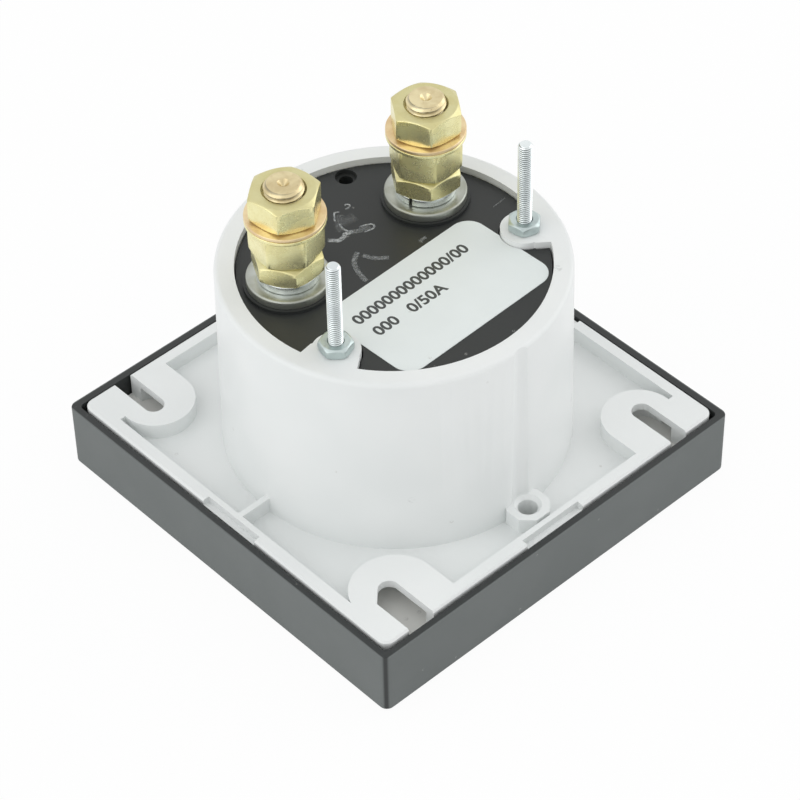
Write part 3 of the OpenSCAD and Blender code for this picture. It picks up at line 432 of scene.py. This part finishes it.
def threadedRod(centre, z0, z1, major, pitch, depth, chamfer, segments, perTurn, end):
    # radius falls from the crest by the depth times a flat-topped triangle of
    # height over pitch minus angle over a full turn; cones narrow both ends.
    # end lists the face's rings inward as (share of the face's radius, height)
    rows = int((z1 - z0) / pitch * perTurn)
    height = np.linspace(z0, z1, rows)[:, None]
    angle = np.linspace(0, tau, segments, endpoint=False)[None, :]
    phase = (height / pitch - angle / tau) % 1.0
    wave = np.clip((np.abs(2 * phase - 1) - threadForm["crest"]) / threadForm["slope"], 0, 1)
    high = major - chamfer + np.clip(z1 - height, 0, chamfer)
    low = major - chamfer + np.clip(height - z0, 0, chamfer)
    radius = np.minimum(np.minimum(major - depth * wave, high), low)
    share, lift = (np.array(column)[:, None] for column in zip(*end))
    face = (major - chamfer) * share * np.ones_like(angle)
    radius = np.vstack([radius, face])
    height = np.vstack([np.broadcast_to(height, (rows, segments)),
                        np.broadcast_to(z1 + lift, face.shape)])
    points = np.stack([centre[0] + radius * np.cos(angle), centre[1] + radius * np.sin(angle),
                       height], -1).reshape(-1, 3)
    total = rows + len(end)
    ring = np.arange(segments)
    turned = (ring + 1) % segments
    last = (total - 1) * segments
    tip = len(points)
    # the pit's tip lies a little under the last ring, a domed end's tip on it
    sink = threadForm["pit"] if lift[-1, 0] < 0 else 0
    points = np.vstack([points, [[*centre, z1 + lift[-1, 0] - sink], [*centre, z0]]])
    topFan = np.stack([last + ring, last + turned, np.full(segments, tip)], -1).tolist()
    footFan = np.stack([turned, ring, np.full(segments, tip + 1)], -1).tolist()
    faces = gridFaces(total, segments) + topFan + footFan
    # how deep each point lies in the groove, 0 on the crest and 1 at the root
    groove = np.concatenate([(wave * (high > major - depth)).ravel(),
                             np.zeros(len(end) * segments + 2)])
    return points, faces, groove


fixingStuds = {"major": 1.5 * mm, "pitch": 0.5 * mm, "depth": 0.32 * mm, "chamfer": 0.42 * mm,
               "segments": 40, "perTurn": 12,
               "end": [(0.9, 0.012 * mm), (0.5, 0.02 * mm), (0.2, 0.01 * mm)]}
# how far a rod's rim stays below its solid's top, and how far it reaches into the head
rodGap = {"fixing": 0.03 * mm, "terminal": 0.12 * mm, "head": 0.2 * mm}
fixingPlace = {}
for side in ("left", "right"):
    node = "fixing_stud_" + side
    low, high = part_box(node)
    fixingPlace[side] = ((low[0] + high[0]) / 2, (low[1] + high[1]) / 2)
    points, faces, groove = threadedRod(fixingPlace[side], low[2], high[2] - rodGap["fixing"],
                                        **fixingStuds)
    rod = addMesh("fixingStud" + side.title(), points, faces, zincThread,
                  layers={"groove": groove})
    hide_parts(node)

terminalStuds = {"major": 4.0 * mm, "pitch": 1.25 * mm, "depth": 0.7 * mm, "chamfer": 0.62 * mm,
                 "segments": 96, "perTurn": 12,
                 "end": [(0.985, 0.05 * mm), (0.93, 0.1 * mm), (0.7, 0.12 * mm), (0.4, 0.12 * mm),
                         (0.36, 0.1 * mm), (0.34, 0.02 * mm), (0.22, -0.4 * mm),
                         (0.1, -0.75 * mm)]}
studHead = {"across": 13 * mm, "height": 4 * mm, "bore": 1.0 * mm, "turn": tau / 12}
# coneShare sets the height kept for a cone, flatShare where a flat counts as cut by it
hexForm = {"sharpness": 120, "cone": math.radians(30), "faceInset": 0.3 * mm, "rim": 0.1 * mm,
           "ringShares": (0.985, 0.9), "coneShare": 1.15, "flatShare": 0.997, "coneRows": 9,
           "flatRows": 5}


def softMinimum(*lengths):
    # a smooth minimum: the sum of powers of the inverses, brought back to a length
    power = hexForm["sharpness"]
    return sum(length ** -power for length in lengths) ** (-1 / power)


def hexSolid(centre, z0, z1, across, bore, turn, sink=0.45 * mm, segments=144):
    # at each angle the radius is the soft minimum of the six flats and of a 30 degree cone from
    # each end face; the rest of the section's loop is the countersunk bore
    angle = np.linspace(0, tau, segments, endpoint=False)
    reach = [np.clip(np.cos(angle - k * tau / 6), 1e-3, None) for k in range(6)]
    flats = softMinimum(*[across / 2 / r for r in reach])
    wide = across / 2 / math.cos(tau / 12)
    drop = hexForm["coneShare"] * (wide - across / 2 + hexForm["rim"]) * math.tan(hexForm["cone"])
    h = z1 - z0
    t = np.concatenate([np.linspace(0, drop, hexForm["coneRows"]),
                        np.linspace(drop, h - drop, hexForm["flatRows"])[1:-1],
                        np.linspace(h - drop, h, hexForm["coneRows"])])
    flat0 = across / 2 - hexForm["faceInset"]
    rise = 1 / math.tan(hexForm["cone"])
    outer = softMinimum(flats[None, :], (flat0 + t * rise)[:, None],
                        (flat0 + (h - t) * rise)[:, None])
    shares = np.array(hexForm["ringShares"])[:, None]
    full = np.ones((1, segments))
    radius = np.vstack([outer, outer[-1] * shares, (bore + sink) * full, bore * full, bore * full,
                        (bore + sink) * full, outer[0] * shares[::-1]])
    heights = np.concatenate([z0 + t, [z1, z1, z1, z1 - sink, z0 + sink, z0, z0, z0]])
    angle = angle + turn
    points = np.stack([centre[0] + radius * np.cos(angle), centre[1] + radius * np.sin(angle),
                       heights[:, None] * full], -1).reshape(-1, 3)
    # 1 on the faces cut across the bar, 0 on the bar's own flats
    cut = np.ones(radius.shape)
    cut[:len(t)] = outer < hexForm["flatShare"] * flats
    return points, gridFaces(len(radius), segments, wrapRows=True), cut.ravel()


# the right-hand stack leans a little, as its stud sits slightly askew in the plate
rightLean = {"x": 0.0098, "y": -0.0092, "from": 56.8 * mm}


def lean(points, side):
    # every point above the plate moves sideways in proportion to its height above it
    if side == "right":
        points = np.array(points)
        above = np.clip(points[:, 2] - rightLean["from"], 0, None)
        points[:, 0] += rightLean["x"] * above
        points[:, 1] += rightLean["y"] * above
    return points


cameraSide = -132.1  # compass angle of the viewing side, in degrees
terminals = {"x": 18.4 * mm, "y": 10.4 * mm, "nutAcross": 13 * mm, "nutBore": 4.02 * mm,
             "halfFlat": 30}
terminalPlace = {"left": (-terminals["x"], terminals["y"]), "right": (terminals["x"], terminals["y"])}
nutTurns = {"left": {"lock_nut": 14, "spacer_nut": 30, "terminal_nut": -10},
            "right": {"lock_nut": 7, "spacer_nut": 15, "terminal_nut": 7}}
for side, centre in terminalPlace.items():
    node = "terminal_stud_" + side
    z0, z1 = floorAndTop(node)
    headTop = z0 + studHead["height"]
    points, faces, groove = threadedRod(centre, headTop - rodGap["head"], z1 - rodGap["terminal"],
                                        **terminalStuds)
    headPoints, headFaces = hexSolid(centre, z0, headTop, studHead["across"], studHead["bore"],
                                     studHead["turn"])[:2]
    faces += (np.array(headFaces) + len(points)).tolist()
    groove = np.concatenate([groove, np.zeros(len(headPoints))])
    rod = addMesh("terminalStud" + side.title(), lean(np.vstack([points, headPoints]), side),
                  faces, studBrass, 50, {"groove": groove})
    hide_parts(node)
    for kind, turn in nutTurns[side].items():
        low, high = floorAndTop(kind + "_" + side)
        points, faces, cut = hexSolid(centre, low, high, terminals["nutAcross"],
                                      terminals["nutBore"],
                                      math.radians(cameraSide + turn - terminals["halfFlat"]))
        first, second = kind.split("_")
        # the faces cut across the bar get a painted shade and a rougher finish in brassMetal
        piece = addMesh(first + second.title() + side.title(), lean(points, side), faces, brassMetal,
                        40, {"turned": cut})
        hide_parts(kind + "_" + side)

fixingNuts = {"left": -132.1, "right": -168.1, "across": 6.2 * mm, "bore": 1.52 * mm,
              "sink": 0.2 * mm, "segments": 96}
for side, centre in fixingPlace.items():
    node = "fixing_nut_" + side
    low, high = floorAndTop(node)
    points, faces = hexSolid(centre, low, high, fixingNuts["across"], fixingNuts["bore"],
                             math.radians(fixingNuts[side]), fixingNuts["sink"],
                             fixingNuts["segments"])[:2]
    piece = addMesh("fixingNut" + side.title(), points, faces, zincDull, 40)
    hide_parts(node)
print("studs and nuts")


def washerRing(inner, outer, z0, z1, rLow, rHigh, centre, segments=128):
    # a square section with rounded outer corners carried round a full circle
    section = np.array([(inner, z0), (inner, z1)] + corner(outer - rHigh, z1 - rHigh, rHigh, 90, 0)
                       + corner(outer - rLow, z0 + rLow, rLow, 0, -90))
    angle = np.linspace(0, tau, segments, endpoint=False)
    radius = section[:, :1]
    points = np.stack([centre[0] + radius * np.cos(angle), centre[1] + radius * np.sin(angle),
                       np.repeat(section[:, 1:], segments, axis=1)], -1)
    return points.reshape(-1, 3), gridFaces(len(section), segments, wrapRows=True)


def rimShare(points, centre, inner, outer):
    # how far out each point lies, 0 at the bore and 1 at the outer edge
    reach = np.hypot(points[:, 0] - centre[0], points[:, 1] - centre[1])
    return np.clip((reach - inner) / (outer - inner), 0, 1)


# the plain washers get darker towards their outer edge, a painted shade, and rougher there
washers = {
    "plain_washer": {"name": "plainWasher", "edge": (0.12 * mm, 0.42 * mm), "bore": 4.6 * mm,
                     "finish": washerZinc, "slot": "zinc_plate", "worn": True},
    "lower_lug_washer": {"name": "lowerLugWasher", "edge": (0.3 * mm, 0.1 * mm),
                         "bore": 4.2 * mm, "finish": brassMetal, "slot": "brass_yellow",
                         "worn": False},
    "upper_lug_washer": {"name": "upperLugWasher", "edge": (0.3 * mm, 0.14 * mm),
                         "bore": 4.2 * mm, "finish": washerBronze, "slot": "brass_yellow",
                         "worn": False},
}
for kind, facts in washers.items():
    for side, centre in terminalPlace.items():
        low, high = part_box(kind + "_" + side)
        outer = (high[0] - low[0]) / 2
        points, faces = washerRing(facts["bore"], outer, low[2], high[2], *facts["edge"], centre)
        # painted shade: the plain washers' outer rims darken
        rim = {"turned": rimShare(points, centre, facts["bore"], outer)} if facts["worn"] else None
        piece = addMesh(facts["name"] + side.title(), lean(points, side), faces, facts["finish"],
                        50, rim)
        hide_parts(kind + "_" + side)

springWashers = {"split": {"left": 60, "right": -162}, "gap": 7.0, "outer": 6.3 * mm,
                 "inner": 4.1 * mm, "round": 0.25 * mm, "step": 0.12 * mm, "rows": 110}


def springRing(centre, low, high, split):
    # a rounded square section carried round less than a full turn, sinking a little on the way
    w = springWashers
    r = w["round"]
    inner, outer = w["inner"] + r, w["outer"] - r
    section = np.array(corner(inner, low + r, r, 270, 180) + corner(inner, high - r, r, 180, 90)
                       + corner(outer, high - r, r, 90, 0) + corner(outer, low + r, r, 0, -90))
    turns = np.linspace(split + w["gap"] / 2, split + 360 - w["gap"] / 2, w["rows"])
    turns = np.radians(turns)[:, None]
    lift = np.linspace(w["step"], 0, w["rows"])[:, None]
    points = np.stack([centre[0] + section[:, 0] * np.cos(turns),
                       centre[1] + section[:, 0] * np.sin(turns),
                       section[:, 1] + lift], -1).reshape(-1, 3)
    end = np.arange(len(section))
    ends = [end[::-1].tolist(), ((w["rows"] - 1) * len(section) + end).tolist()]
    return points, gridFaces(w["rows"], len(section)) + ends


for side, centre in terminalPlace.items():
    low, high = floorAndTop("spring_washer_" + side)
    points, faces = springRing(centre, low, high - springWashers["step"],
                               springWashers["split"][side])
    piece = addMesh("springWasher" + side.title(), lean(points, side), faces, zincMetal,
                    50)
    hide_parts("spring_washer_" + side)
print("washers")


def addText(name, words, size, place, turn, bold, length=None, mirrored=False):
    # flat lettering made a mesh; mirrored turns it over, to be read from below
    curve = bpy.data.curves.new(name, "FONT")
    curve.body = words
    curve.size = size
    curve.align_x = "CENTER" if mirrored else "LEFT"
    curve.align_y = "CENTER"
    curve.extrude = 0.01 * mm
    curve.offset = bold
    curve.resolution_u = 4
    draft = bpy.data.objects.new(name + "Draft", curve)
    bpy.context.scene.collection.objects.link(draft)
    bpy.context.view_layer.update()
    solid = draft.evaluated_get(bpy.context.evaluated_depsgraph_get())
    mesh = bpy.data.meshes.new_from_object(solid)
    bpy.data.objects.remove(draft)
    bpy.data.curves.remove(curve)
    if length:
        points = np.empty(len(mesh.vertices) * 3)
        mesh.vertices.foreach_get("co", points)
        mesh.transform(Matrix.Diagonal((length / np.ptp(points[::3]), 1, 1, 1)))
    move = Matrix.Translation(place) @ Matrix.Rotation(turn, 4, "Z")
    if mirrored:
        move = move @ Matrix.Rotation(math.pi, 4, "Y")
    mesh.transform(move)
    return addPiece(name, mesh, printInk)


labelPrint = {"turn": math.radians(1.6), "size": 3.62 * mm, "bold": 0.1 * mm, "lift": 0.005 * mm,
              "rows": [("labelRowOne", "0000000000000/00", (-16.7, -6.9), 30.6),
                       ("labelRowTwo", "000   0/50A", (-15.9, -11.9), 18.9)]}
labelTop = floorAndTop("rating_label")[1]
for name, words, (x, y), length in labelPrint["rows"]:
    spot = (x * mm, y * mm, labelTop + labelPrint["lift"])
    addText(name, words, labelPrint["size"], spot, labelPrint["turn"],
            labelPrint["bold"], length * mm)

# the dial is read from below, so its marks lie on the plate's lower face
dial = {"axis": np.array([0, -20 * mm]), "radius": 45 * mm, "start": 45, "swing": 90,
        "marks": 50, "steps": 120, "lengths": np.array([4.8, 3.7, 2.6]) * mm,
        "widths": np.array([0.75, 0.5, 0.28]) * mm, "arc": 0.3 * mm, "thick": 0.02 * mm,
        "tuck": 0.001 * mm,
        "numbers": {"reach": 7.7 * mm, "size": 5.2 * mm, "bold": 0, "lift": 0.006 * mm},
        "unit": {"words": "A", "place": 4 * mm, "size": 8 * mm, "bold": 0.05 * mm}}
dialFace = floorAndTop("dial_plate")[0]


def dialMarks():
    # radial bars between two radii, each a box of eight points, and an arc of square section
    heights = [dialFace - dial["thick"], dialFace + dial["tuck"]]
    count = np.arange(dial["marks"] + 1)
    kind = np.where(count % 10 == 0, 0, np.where(count % 5 == 0, 1, 2))
    angle = np.radians(dial["start"] + dial["swing"] * count / dial["marks"])
    along = np.stack([np.cos(angle), np.sin(angle)], -1)[:, None, :]
    across = np.stack([-np.sin(angle), np.cos(angle)], -1)[:, None, :]
    far = np.array([0, 1, 1, 0]) * dial["lengths"][kind][:, None]
    wide = np.array([-1, -1, 1, 1]) * dial["widths"][kind][:, None] / 2
    flat = dial["axis"] + along * (dial["radius"] + far)[..., None] + across * wide[..., None]
    layers = [np.dstack([flat, np.full(flat.shape[:2], z)]) for z in heights]
    bars = np.concatenate(layers, axis=1).reshape(-1, 3)
    box = np.array([(3, 2, 1, 0), (4, 5, 6, 7), (0, 1, 5, 4), (1, 2, 6, 5), (2, 3, 7, 6),
                    (3, 0, 4, 7)])
    faces = (box[None] + 8 * count[:, None, None]).reshape(-1, 4).tolist()
    turn = np.linspace(dial["start"], dial["start"] + dial["swing"], dial["steps"])
    turn = np.radians(turn)[:, None]
    reach = dial["radius"] + np.array([-0.5, -0.5, 0.5, 0.5]) * dial["arc"]
    x, y = dial["axis"]
    level = np.broadcast_to([heights[i] for i in (0, 1, 1, 0)], (dial["steps"], 4))
    arc = np.stack([x + reach * np.cos(turn), y + reach * np.sin(turn), level], -1).reshape(-1, 3)
    start = len(bars)
    last = start + len(arc) - 4
    faces += gridFaces(dial["steps"], 4, start=start)
    faces += [[start + i for i in range(4)], [last + i for i in range(4)]]
    return np.vstack([bars, arc]), faces


points, faces = dialMarks()
addMesh("dialScale", points, faces, printInk)
numbers = dial["numbers"]
for i in range(6):
    # seen from below, the zero is on the reader's left
    angle = math.radians(dial["start"] + dial["swing"] * i / 5)
    reach = dial["radius"] + numbers["reach"]
    spot = (reach * math.cos(angle), dial["axis"][1] + reach * math.sin(angle),
            dialFace - numbers["lift"])
    addText("dialNumber%d" % i, str(10 * i), numbers["size"], spot, angle - tau / 4,
            numbers["bold"], mirrored=True)
unit = dial["unit"]
addText("dialUnit", unit["words"], unit["size"], (0, unit["place"], dialFace - numbers["lift"]), 0,
        unit["bold"], mirrored=True)
print("printing")

plateTop = 56.0 * mm
# each stroke's width in millimetres, how much dust it holds, and its way over the plate
chalkLines = {
    "hookTop": {"width": 0.42, "dust": 0.85,
        "points": [(3.1, 19.2), (2.1, 19.7), (1.3, 18.9), (0.3, 17.6)]},
    "hookLow": {"width": 0.5, "dust": 0.95,
        "points": [(0.7, 16.9), (0.2, 15.4), (0.2, 14.3), (0.5, 13.6), (1.3, 13.2)]},
    "loop": {"width": 0.45, "dust": 0.9,
        "points": [(2.5, 13.2), (4.0, 12.7), (5.1, 12.1), (5.2, 11.3), (4.6, 10.9), (3.3, 11.1),
                   (2.4, 11.4)]},
    "loopSmear": {"width": 1.5, "dust": 0.3,
        "points": [(4.6, 11.8), (3.2, 12.0), (1.8, 12.4), (0.6, 13.2)]},
    "curl": {"width": 1.15, "dust": 0.9,
        "points": [(1.3, 13.2), (0.3, 13.2), (-0.6, 13.5), (-1.3, 13.1), (-2.4, 12.9),
                   (-3.1, 13.1), (-3.7, 13.8), (-4.6, 14.6)]},
    "fleck": {"width": 0.4, "dust": 0.8,
        "points": [(4.3, 19.1), (5.1, 18.9), (5.9, 19.3), (5.5, 20.0), (5.0, 19.7)]},
    "smudge": {"width": 3.4, "dust": 0.16,
        "points": [(4.6, 16.0), (3.2, 16.2), (1.8, 16.4), (0.6, 16.2)]},
    "smudgeSide": {"width": 2.0, "dust": 0.2,
        "points": [(2.6, 18.6), (1.6, 17.6), (0.0, 16.2), (-0.8, 14.4)]},
    "bowTop": {"width": 1.2, "dust": 0.42,
        "points": [(0.9, 2.2), (0.1, 3.0), (-1.0, 3.9), (-1.9, 5.2), (-2.5, 6.6)]},
    "bowSide": {"width": 1.2, "dust": 0.42,
        "points": [(-2.2, 7.8), (-3.5, 7.3), (-5.1, 6.0), (-6.1, 4.2), (-6.6, 2.5), (-6.9, 0.9),
                   (-6.9, 0.2)]},
    "rub": {"width": 1.0, "dust": 0.3,
        "points": [(10.4, 1.6), (9.2, 1.7), (8.4, 1.3)]},
    "scratch": {"width": 0.35, "dust": 0.25,
        "points": [(26.1, -1.1), (28.3, -0.9), (30.0, -0.7)]},
}
chalkGrid = {"rows": 60, "cols": 7, "lift": 0.015 * mm}


def smoothPath(points, steps):
    # Catmull-Rom curve through the points, sampled evenly in its parameter
    p = np.asarray(points, float)
    p = np.vstack([2 * p[0] - p[1], p, 2 * p[-1] - p[-2]])
    u = np.linspace(0, len(p) - 3 - 1e-6, steps)
    i = u.astype(int)
    t = (u - i)[:, None]
    a, b, c, d = p[i], p[i + 1], p[i + 2], p[i + 3]
    return 0.5 * (2 * b + (c - a) * t + (2 * a - 5 * b + 4 * c - d) * t ** 2
                  + (3 * b - a - 3 * c + d) * t ** 3)


def chalkRibbon(line):
    # a flat ribbon: each point of the path plus a share of the width along its side
    path = smoothPath(line["points"], chalkGrid["rows"]) * mm
    along = np.gradient(path, axis=0)
    along /= np.linalg.norm(along, axis=1)[:, None]
    side = np.stack([-along[:, 1], along[:, 0]], 1) * line["width"] * mm
    across = np.linspace(-0.5, 0.5, chalkGrid["cols"])
    flat = path[:, None, :] + side[:, None, :] * across[None, :, None]
    points = np.dstack([flat, np.full(flat.shape[:2], plateTop + chalkGrid["lift"])])
    uv = np.dstack(np.meshgrid(np.linspace(0, 1, chalkGrid["rows"]), across + 0.5, indexing="ij"))
    return points.reshape(-1, 3), uv.reshape(-1, 2)


def makeChalk():
    # gritty dust that thins at a stroke's sides and ends
    f = newFinish("chalkDust")
    spot = f.add("TexCoord", out="UV")
    along, across = f.outputs(f.add("SeparateXYZ", None, {"Vector": spot}))[:2]
    dust = f.layer("dust")
    body = 1 - f.ramp((across - 0.5).abs(), 0.36 * f.ramp(dust, 0.1, 0.35), 0.5)
    ends = f.ramp(along, 0.0, 0.08) * (1 - f.ramp(along, 0.92, 1.0))
    grit = f.ramp(f.noise(0.22, 4, 0.75), 0.42, 0.62)
    streak = f.ramp(f.noise(1.1, 3, 0.6), 0.3, 0.65)
    return f.coat(baseColor=f.blend(grit, (0.5, 0.55, 0.58), (0.8, 0.82, 0.82)), roughness=0.9,
                  alpha=body * ends * dust * (0.42 + 0.58 * grit) * (0.6 + 0.4 * streak))


ribbons = [chalkRibbon(line) for line in chalkLines.values()]
each = chalkGrid["rows"] * chalkGrid["cols"]
chalkFaces = [face for i in range(len(ribbons))
              for face in gridFaces(chalkGrid["rows"], chalkGrid["cols"], wrapCols=False, start=i * each)]
dust = np.repeat([line["dust"] for line in chalkLines.values()], each)
chalk = addMesh("chalkStrokes", np.vstack([r[0] for r in ribbons]), chalkFaces, makeChalk(),
                layers={"dust": dust})
index = np.empty(len(chalk.data.loops), np.int32)
chalk.data.loops.foreach_get("vertex_index", index)
strokes = np.vstack([r[1] for r in ribbons])[index]
chalk.data.uv_layers.new(name="strokes").data.foreach_set("uv", strokes.ravel())
print("chalk strokes")


def onBackdrop(f):
    # 1 for what the camera sees directly, in a mirror or through glass
    path = f.add("LightPath", out="Is Camera Ray")
    rays = path.socket.node.outputs
    return path.max(Wire(f, rays["Is Glossy Ray"])).max(Wire(f, rays["Is Transmission Ray"]))


# the floor's half side, its height just under the part, its colour, and how much of it and of
# the world shows as plain white
stage = {"half": 3.0, "drop": -0.02 * mm, "tone": (0.86, 0.87, 0.87), "glow": 0.95, "light": 0.8}
half = stage["half"]
corners = ((-half, -half), (half, -half), (half, half), (-half, half))
floorMesh = bpy.data.meshes.new("floor")
floorMesh.from_pydata([(x, y, stage["drop"]) for x, y in corners], [], [(0, 1, 2, 3)])
floor = bpy.data.objects.new("floor", floorMesh)
bpy.context.scene.collection.objects.link(floor)
f = newFinish("paleFloor")
f.coat(baseColor=stage["tone"], roughness=0.9, specularIorLevel=0.1)
glow = f.add("Emission", None, {"Color": (1, 1, 1), "Strength": 1.0})
plain = Wire(f, f.shader.outputs[0])
shown = f.add("MixShader", None, {0: onBackdrop(f) * stage["glow"], 1: plain, 2: glow})
f.feed(next(n for n in f.tree.nodes if n.type == "OUTPUT_MATERIAL").inputs["Surface"], shown)
floorMesh.materials.append(f.material)

world = bpy.data.worlds.new("studio")
bpy.context.scene.world = world
room = Finish(world)
room.feed(room.shader.inputs["Color"], (1, 1, 1))
room.feed(room.shader.inputs["Strength"], stage["light"] + (1 - stage["light"]) * onBackdrop(room))

lamps = {
    "keyLamp": {"place": (-0.8, 0.1, 0.55), "size": 1.0, "power": 2.6},
    "sideLamp": {"place": (0.8, -0.3, 0.45), "size": 0.8, "power": 2.2},
}
lampAim = Vector((0, 0, 0.03))
for name, facts in lamps.items():
    lamp = bpy.data.lights.new(name, "AREA")
    lamp.size = facts["size"]
    lamp.energy = facts["power"]
    obj = bpy.data.objects.new(name, lamp)
    bpy.context.scene.collection.objects.link(obj)
    obj.location = facts["place"]
    obj.rotation_euler = (lampAim - Vector(facts["place"])).to_track_quat("-Z", "Y").to_euler()

cameraFacts = {"place": (-0.31266, -0.34579, 0.47684), "right": (0.73037, -0.68288, -0.01565),
               "down": (-0.48683, -0.50434, -0.71319), "lens": 143.71, "sensor": 36}
camera = bpy.data.cameras.new("camera")
camera.lens = cameraFacts["lens"]
camera.sensor_width = cameraFacts["sensor"]
camera.clip_start = 0.01
camera.clip_end = 20
viewer = bpy.data.objects.new("camera", camera)
bpy.context.scene.collection.objects.link(viewer)
right = Vector(cameraFacts["right"]).normalized()
up = -Vector(cameraFacts["down"])
up = (up - right * up.dot(right)).normalized()
viewer.matrix_world = (Matrix.Translation(cameraFacts["place"])
                       @ Matrix((right, up, right.cross(up))).transposed().to_4x4())
bpy.context.scene.camera = viewer
bpy.context.scene.view_settings.view_transform = "Standard"
print("stage set")
